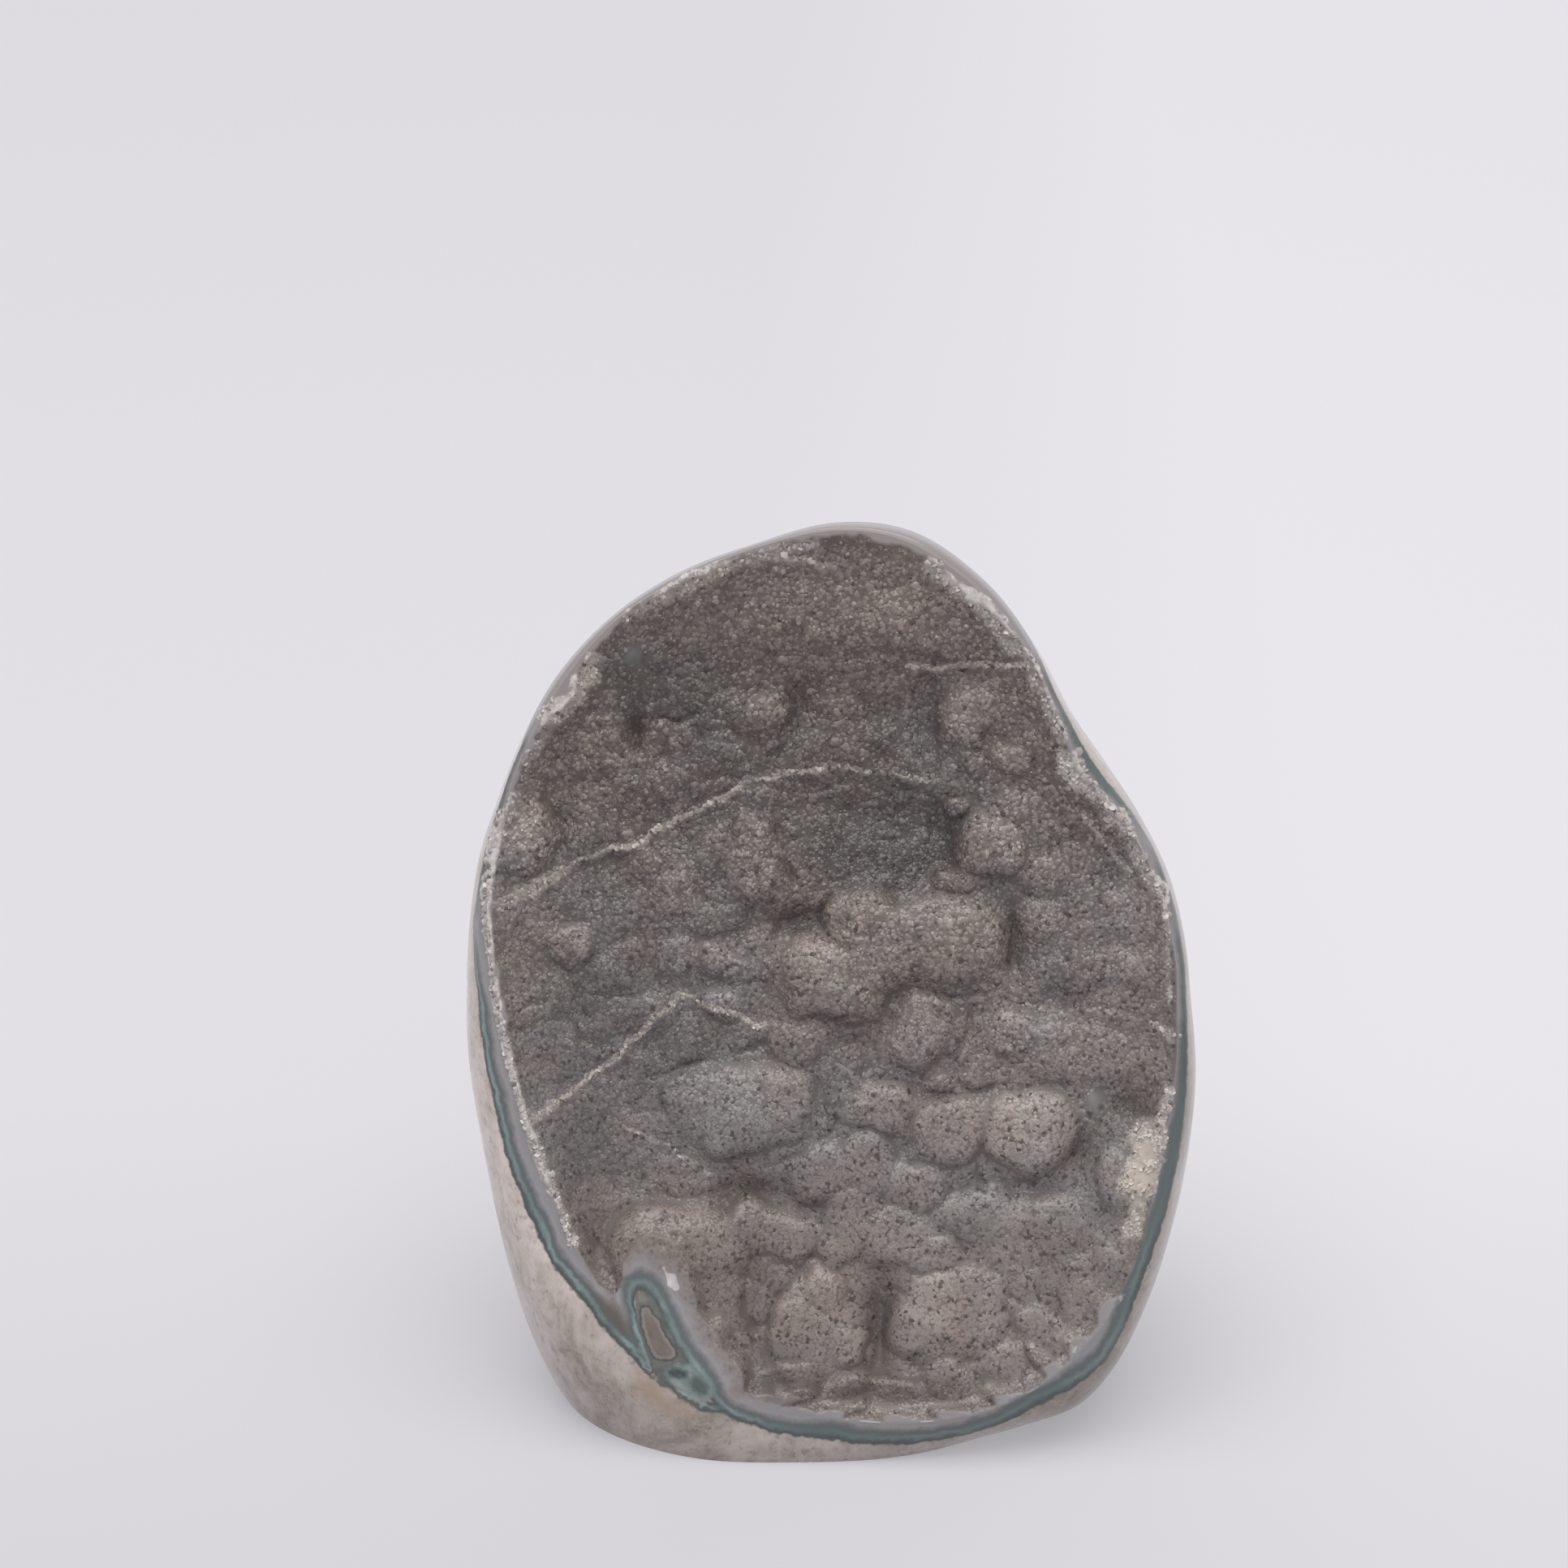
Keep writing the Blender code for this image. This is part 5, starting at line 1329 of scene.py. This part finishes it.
def rock_colour(tree):
    """The wall rock: pinkish tan, in faint layers, with ochre and dark specks, and painted shade low down and
    on the right.
    """
    place = tree.place()
    warped = tree.nodes.new("ShaderNodeVectorMath")
    warped.operation = "MULTIPLY_ADD"
    tree.put(warped.inputs[0], tree.add("ShaderNodeTexNoise", "Color", Vector=place, Scale=26.0, Detail=3.0))
    warped.inputs[1].default_value = (0.03, 0.03, 0.03)
    tree.put(warped.inputs[2], place)
    warped = warped.outputs[0]
    clouds = tree.colours(tree.noise(52.0, 9.0, 0.74, warped), ROCK_CLOUDS)
    mottle = tree.colours(tree.noise(330.0, 7.0, 0.7, warped), ROCK_MOTTLE)
    rock = tree.mix(1.0, clouds, mottle, "MULTIPLY")
    ochre = tree.span(tree.noise(34.0, 5.0, 0.6), 0.5, 0.68)
    rock = tree.mix(tree.math("MULTIPLY", ochre, 0.6), rock, srgb(140, 127, 110))
    veins = tree.math("ABSOLUTE", tree.math("SUBTRACT", tree.noise(60.0, 6.0, 0.7), 0.5))
    rock = tree.mix(tree.span(veins, 0.016, 0.0, 0.0, 0.45), rock, srgb(190, 182, 176))
    speck = tree.span(tree.noise(700.0, 3.0), 0.6, 0.7)
    rock = tree.mix(tree.math("MULTIPLY", speck, 0.45), rock, srgb(108, 97, 89))
    # Painted shade: darker towards the base and the right side, lighter higher up.
    painted_base_shade = tree.span(tree.along("Z"), 0.0, 0.034, 0.7, 1.18)
    painted_right_shade = tree.span(tree.along("X"), 0.026, 0.044, 1.0, 0.66)
    return tree.lit(rock, tree.math("MULTIPLY", painted_base_shade, painted_right_shade))


def paint_patch(tree, under, name, edge, colour, ragged, amount=1.0):
    """Paints one of the markings over a colour. Its edge is as wide as given, in millimetres."""
    inside = tree.span(tree.math("ADD", tree.value(name), ragged), edge, -edge, 0.0, amount)
    return tree.mix(inside, under, colour)


def paint_patches(tree, under, patches, ragged):
    """Paints several markings over a colour."""
    for name, edge, colour, amount in patches:
        under = paint_patch(tree, under, name, edge, srgb(*colour), ragged, amount)
    return under


def paint_tongue(tree, under, ragged):
    """Paints what the loop of band on the tongue holds, and the marks round it."""
    under = paint_patches(tree, under, STAINS, ragged)
    clouded = tree.noise(500.0, 3.0)
    under = paint_patch(tree, under, "inside", 0.2, tree.colours(clouded, DULL_LOOP), ragged)
    under = paint_patch(tree, under, "nook", 0.3, srgb(120, 119, 112), ragged, 0.9)
    under = paint_patch(tree, under, "pool", 0.3, tree.colours(clouded, CLOUDED_POOL), ragged, 0.95)
    under = paint_patches(tree, under, PITS, ragged)
    outline = tree.math("SUBTRACT", tree.value("core"), 0.3)
    outline = tree.span(tree.math("ADD", outline, ragged), 0.15, -0.15)
    under = tree.mix(outline, under, srgb(72, 73, 72))
    stained = tree.colours(tree.noise(700.0, 4.0, 0.6), STAINED_CORE)
    under = paint_patch(tree, under, "core", 0.12, srgb(128, 121, 115), ragged)
    inner = tree.span(tree.math("ADD", tree.math("ADD", tree.value("core"), 0.4), ragged), 0.2, -0.2)
    under = tree.mix(inner, under, stained)
    return paint_patch(tree, under, "chip", 0.12, srgb(208, 203, 204), ragged)


def agate_material():
    """The stone itself: banded chalcedony and wall rock where it is polished, dull where the druse is."""
    tree = Tree("polished_agate")
    wavy = tree.either_way(tree.noise(330.0, 2.0), 1.5)
    ragged = tree.either_way(tree.noise(1300.0, 2.0), 0.7)
    band = tree.math("ADD", tree.math("ADD", tree.value("band"), wavy), ragged)
    agate, place = band_colour(tree, band)
    polished = tree.mix(tree.span(place, 1.1, 1.45), agate, rock_colour(tree))
    polished = paint_tongue(tree, polished, ragged)
    chips = tree.span(tree.noise(900.0, 3.0, 0.7), 0.3, 0.7)
    jagged = tree.math("ADD", tree.value("rim_cream"), tree.either_way(chips, 0.5))
    polished = tree.mix(tree.span(jagged, 0.3, 0.6), polished, tree.colours(chips, SMOOTH_CRUST))
    worn_druse = druse_colour(tree, tree.span(tree.noise(1400.0, 3.0, 0.6), 0.25, 0.75))
    blotched = tree.math("ADD", place, tree.either_way(tree.noise(400.0, 4.0, 0.6), 5.0))
    polished = tree.mix(tree.span(blotched, -5.5, -1.6, tree.value("worn"), 0.0), polished, worn_druse)
    polish = tree.value("polish")
    colour = tree.mix(polish, druse_colour(tree, 0.15), polished)
    tree.surface(Base_Color=colour, Roughness=tree.span(polish, 0.0, 1.0, 0.6, 0.2), IOR=QUARTZ_IOR)
    return tree.material


def druse_material():
    """Small quartz points over the chalcedony."""
    tree = Tree("druse_quartz")
    tree.surface(Base_Color=druse_colour(tree, tree.value("grain")), Roughness=0.35, IOR=QUARTZ_IOR)
    return tree.material


def floor_material():
    """A pale matt surface that glows a little, more so towards the backdrop and the right."""
    tree = Tree("pale_floor")
    depth = tree.span(tree.along("Y"), -0.4, 1.6)
    glow = tree.ramp(depth, *[(place, (value, value, value, 1.0)) for place, value in FLOOR_GLOW])
    beside = tree.span(tree.along("X"), -0.02, 0.1, 1.0, 1.16)
    tree.surface(
        Base_Color=FLOOR_COLOUR, Roughness=1.0, Specular_IOR_Level=0.0, Emission_Color=GLOW_COLOUR,
        Emission_Strength=tree.math("MULTIPLY", glow, beside),
    )
    return tree.material


def make_stage():
    """A pale floor that rises into a backdrop far behind the stone."""
    rows = [(-FLOOR_HALF, 0.0), (FLOOR_BACK, 0.0)]
    rows += [
        (FLOOR_BACK + FLOOR_BEND * math.sin(turn), FLOOR_BEND * (1.0 - math.cos(turn)))
        for turn in np.linspace(0.0, 0.5 * math.pi, 17)[1:]
    ]
    rows.append((FLOOR_BACK + FLOOR_BEND, FLOOR_HALF))
    places = np.array([(x, y, z) for y, z in rows for x in (-FLOOR_HALF, FLOOR_HALF)])
    quads = [(2 * i, 2 * i + 1, 2 * i + 3, 2 * i + 2) for i in range(len(rows) - 1)]
    mesh = bpy.data.meshes.new("floor")
    mesh.from_pydata(places.tolist(), [], quads)
    mesh.shade_smooth()
    mesh.materials.append(floor_material())
    floor = bpy.data.objects.new("floor", mesh)
    bpy.context.scene.collection.objects.link(floor)


def make_lights():
    """Soft light from all round, stronger from above."""
    world = bpy.data.worlds.new("studio")
    bpy.context.scene.world = world
    world.use_nodes = True
    nodes, links = world.node_tree.nodes, world.node_tree.links
    place = nodes.new("ShaderNodeTexCoord")
    split = nodes.new("ShaderNodeSeparateXYZ")
    ramp = nodes.new("ShaderNodeValToRGB")
    ramp.color_ramp.elements[0].position = 0.0
    ramp.color_ramp.elements[0].color = LOW_LIGHT
    ramp.color_ramp.elements[1].position = 0.9
    ramp.color_ramp.elements[1].color = HIGH_LIGHT
    links.new(place.outputs["Generated"], split.inputs[0])
    links.new(split.outputs["Z"], ramp.inputs["Fac"])
    links.new(ramp.outputs["Color"], nodes["Background"].inputs["Color"])
    nodes["Background"].inputs["Strength"].default_value = WORLD_STRENGTH
    light = bpy.data.lights.new("softbox", "AREA")
    light.shape = "RECTANGLE"
    light.size, light.size_y = SOFTBOX_SIZE, SOFTBOX_SIZE
    light.energy = SOFTBOX_WATTS
    softbox = bpy.data.objects.new("softbox", light)
    softbox.location = SOFTBOX_PLACE
    aim = Vector(SOFTBOX_AIM) - softbox.location
    softbox.rotation_euler = aim.to_track_quat("-Z", "Y").to_euler()
    bpy.context.scene.collection.objects.link(softbox)


def make_camera():
    """The camera of the photograph, upright, with the middle of the face on its pixel."""
    focal = LENS / SENSOR * IMAGE_SIZE
    x = (AIM_PIXEL[0] - IMAGE_SIZE / 2) / focal
    y = (IMAGE_SIZE / 2 - AIM_PIXEL[1]) / focal
    sine = math.sin(-LOOK_DOWN) * math.sqrt(1 + x * x + y * y) / math.sqrt(1 + y * y)
    pitch = math.asin(sine) - math.atan(y)
    yaw = math.atan(x / (math.cos(pitch) - y * math.sin(pitch)))
    camera = bpy.data.objects.new("camera", bpy.data.cameras.new("camera"))
    camera.data.lens = LENS
    camera.data.sensor_width = SENSOR
    camera.data.clip_start = 0.01
    camera.location = camera_place()
    camera.rotation_euler = (math.pi / 2 + pitch, 0.0, yaw)
    bpy.context.scene.collection.objects.link(camera)
    bpy.context.scene.camera = camera


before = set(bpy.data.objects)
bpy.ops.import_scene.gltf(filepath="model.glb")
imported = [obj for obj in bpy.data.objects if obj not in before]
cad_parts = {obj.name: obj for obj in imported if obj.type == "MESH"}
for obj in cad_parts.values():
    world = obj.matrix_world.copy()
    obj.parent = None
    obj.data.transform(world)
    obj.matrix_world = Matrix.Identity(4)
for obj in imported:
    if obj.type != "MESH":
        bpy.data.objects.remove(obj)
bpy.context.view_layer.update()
bpy.context.scene.view_settings.view_transform = "Standard"
make_camera()
make_lights()
make_stage()
relief = Relief()
make_body(relief, agate_material())
druse = druse_material()
make_druse(relief, druse)
make_crust(relief, druse)
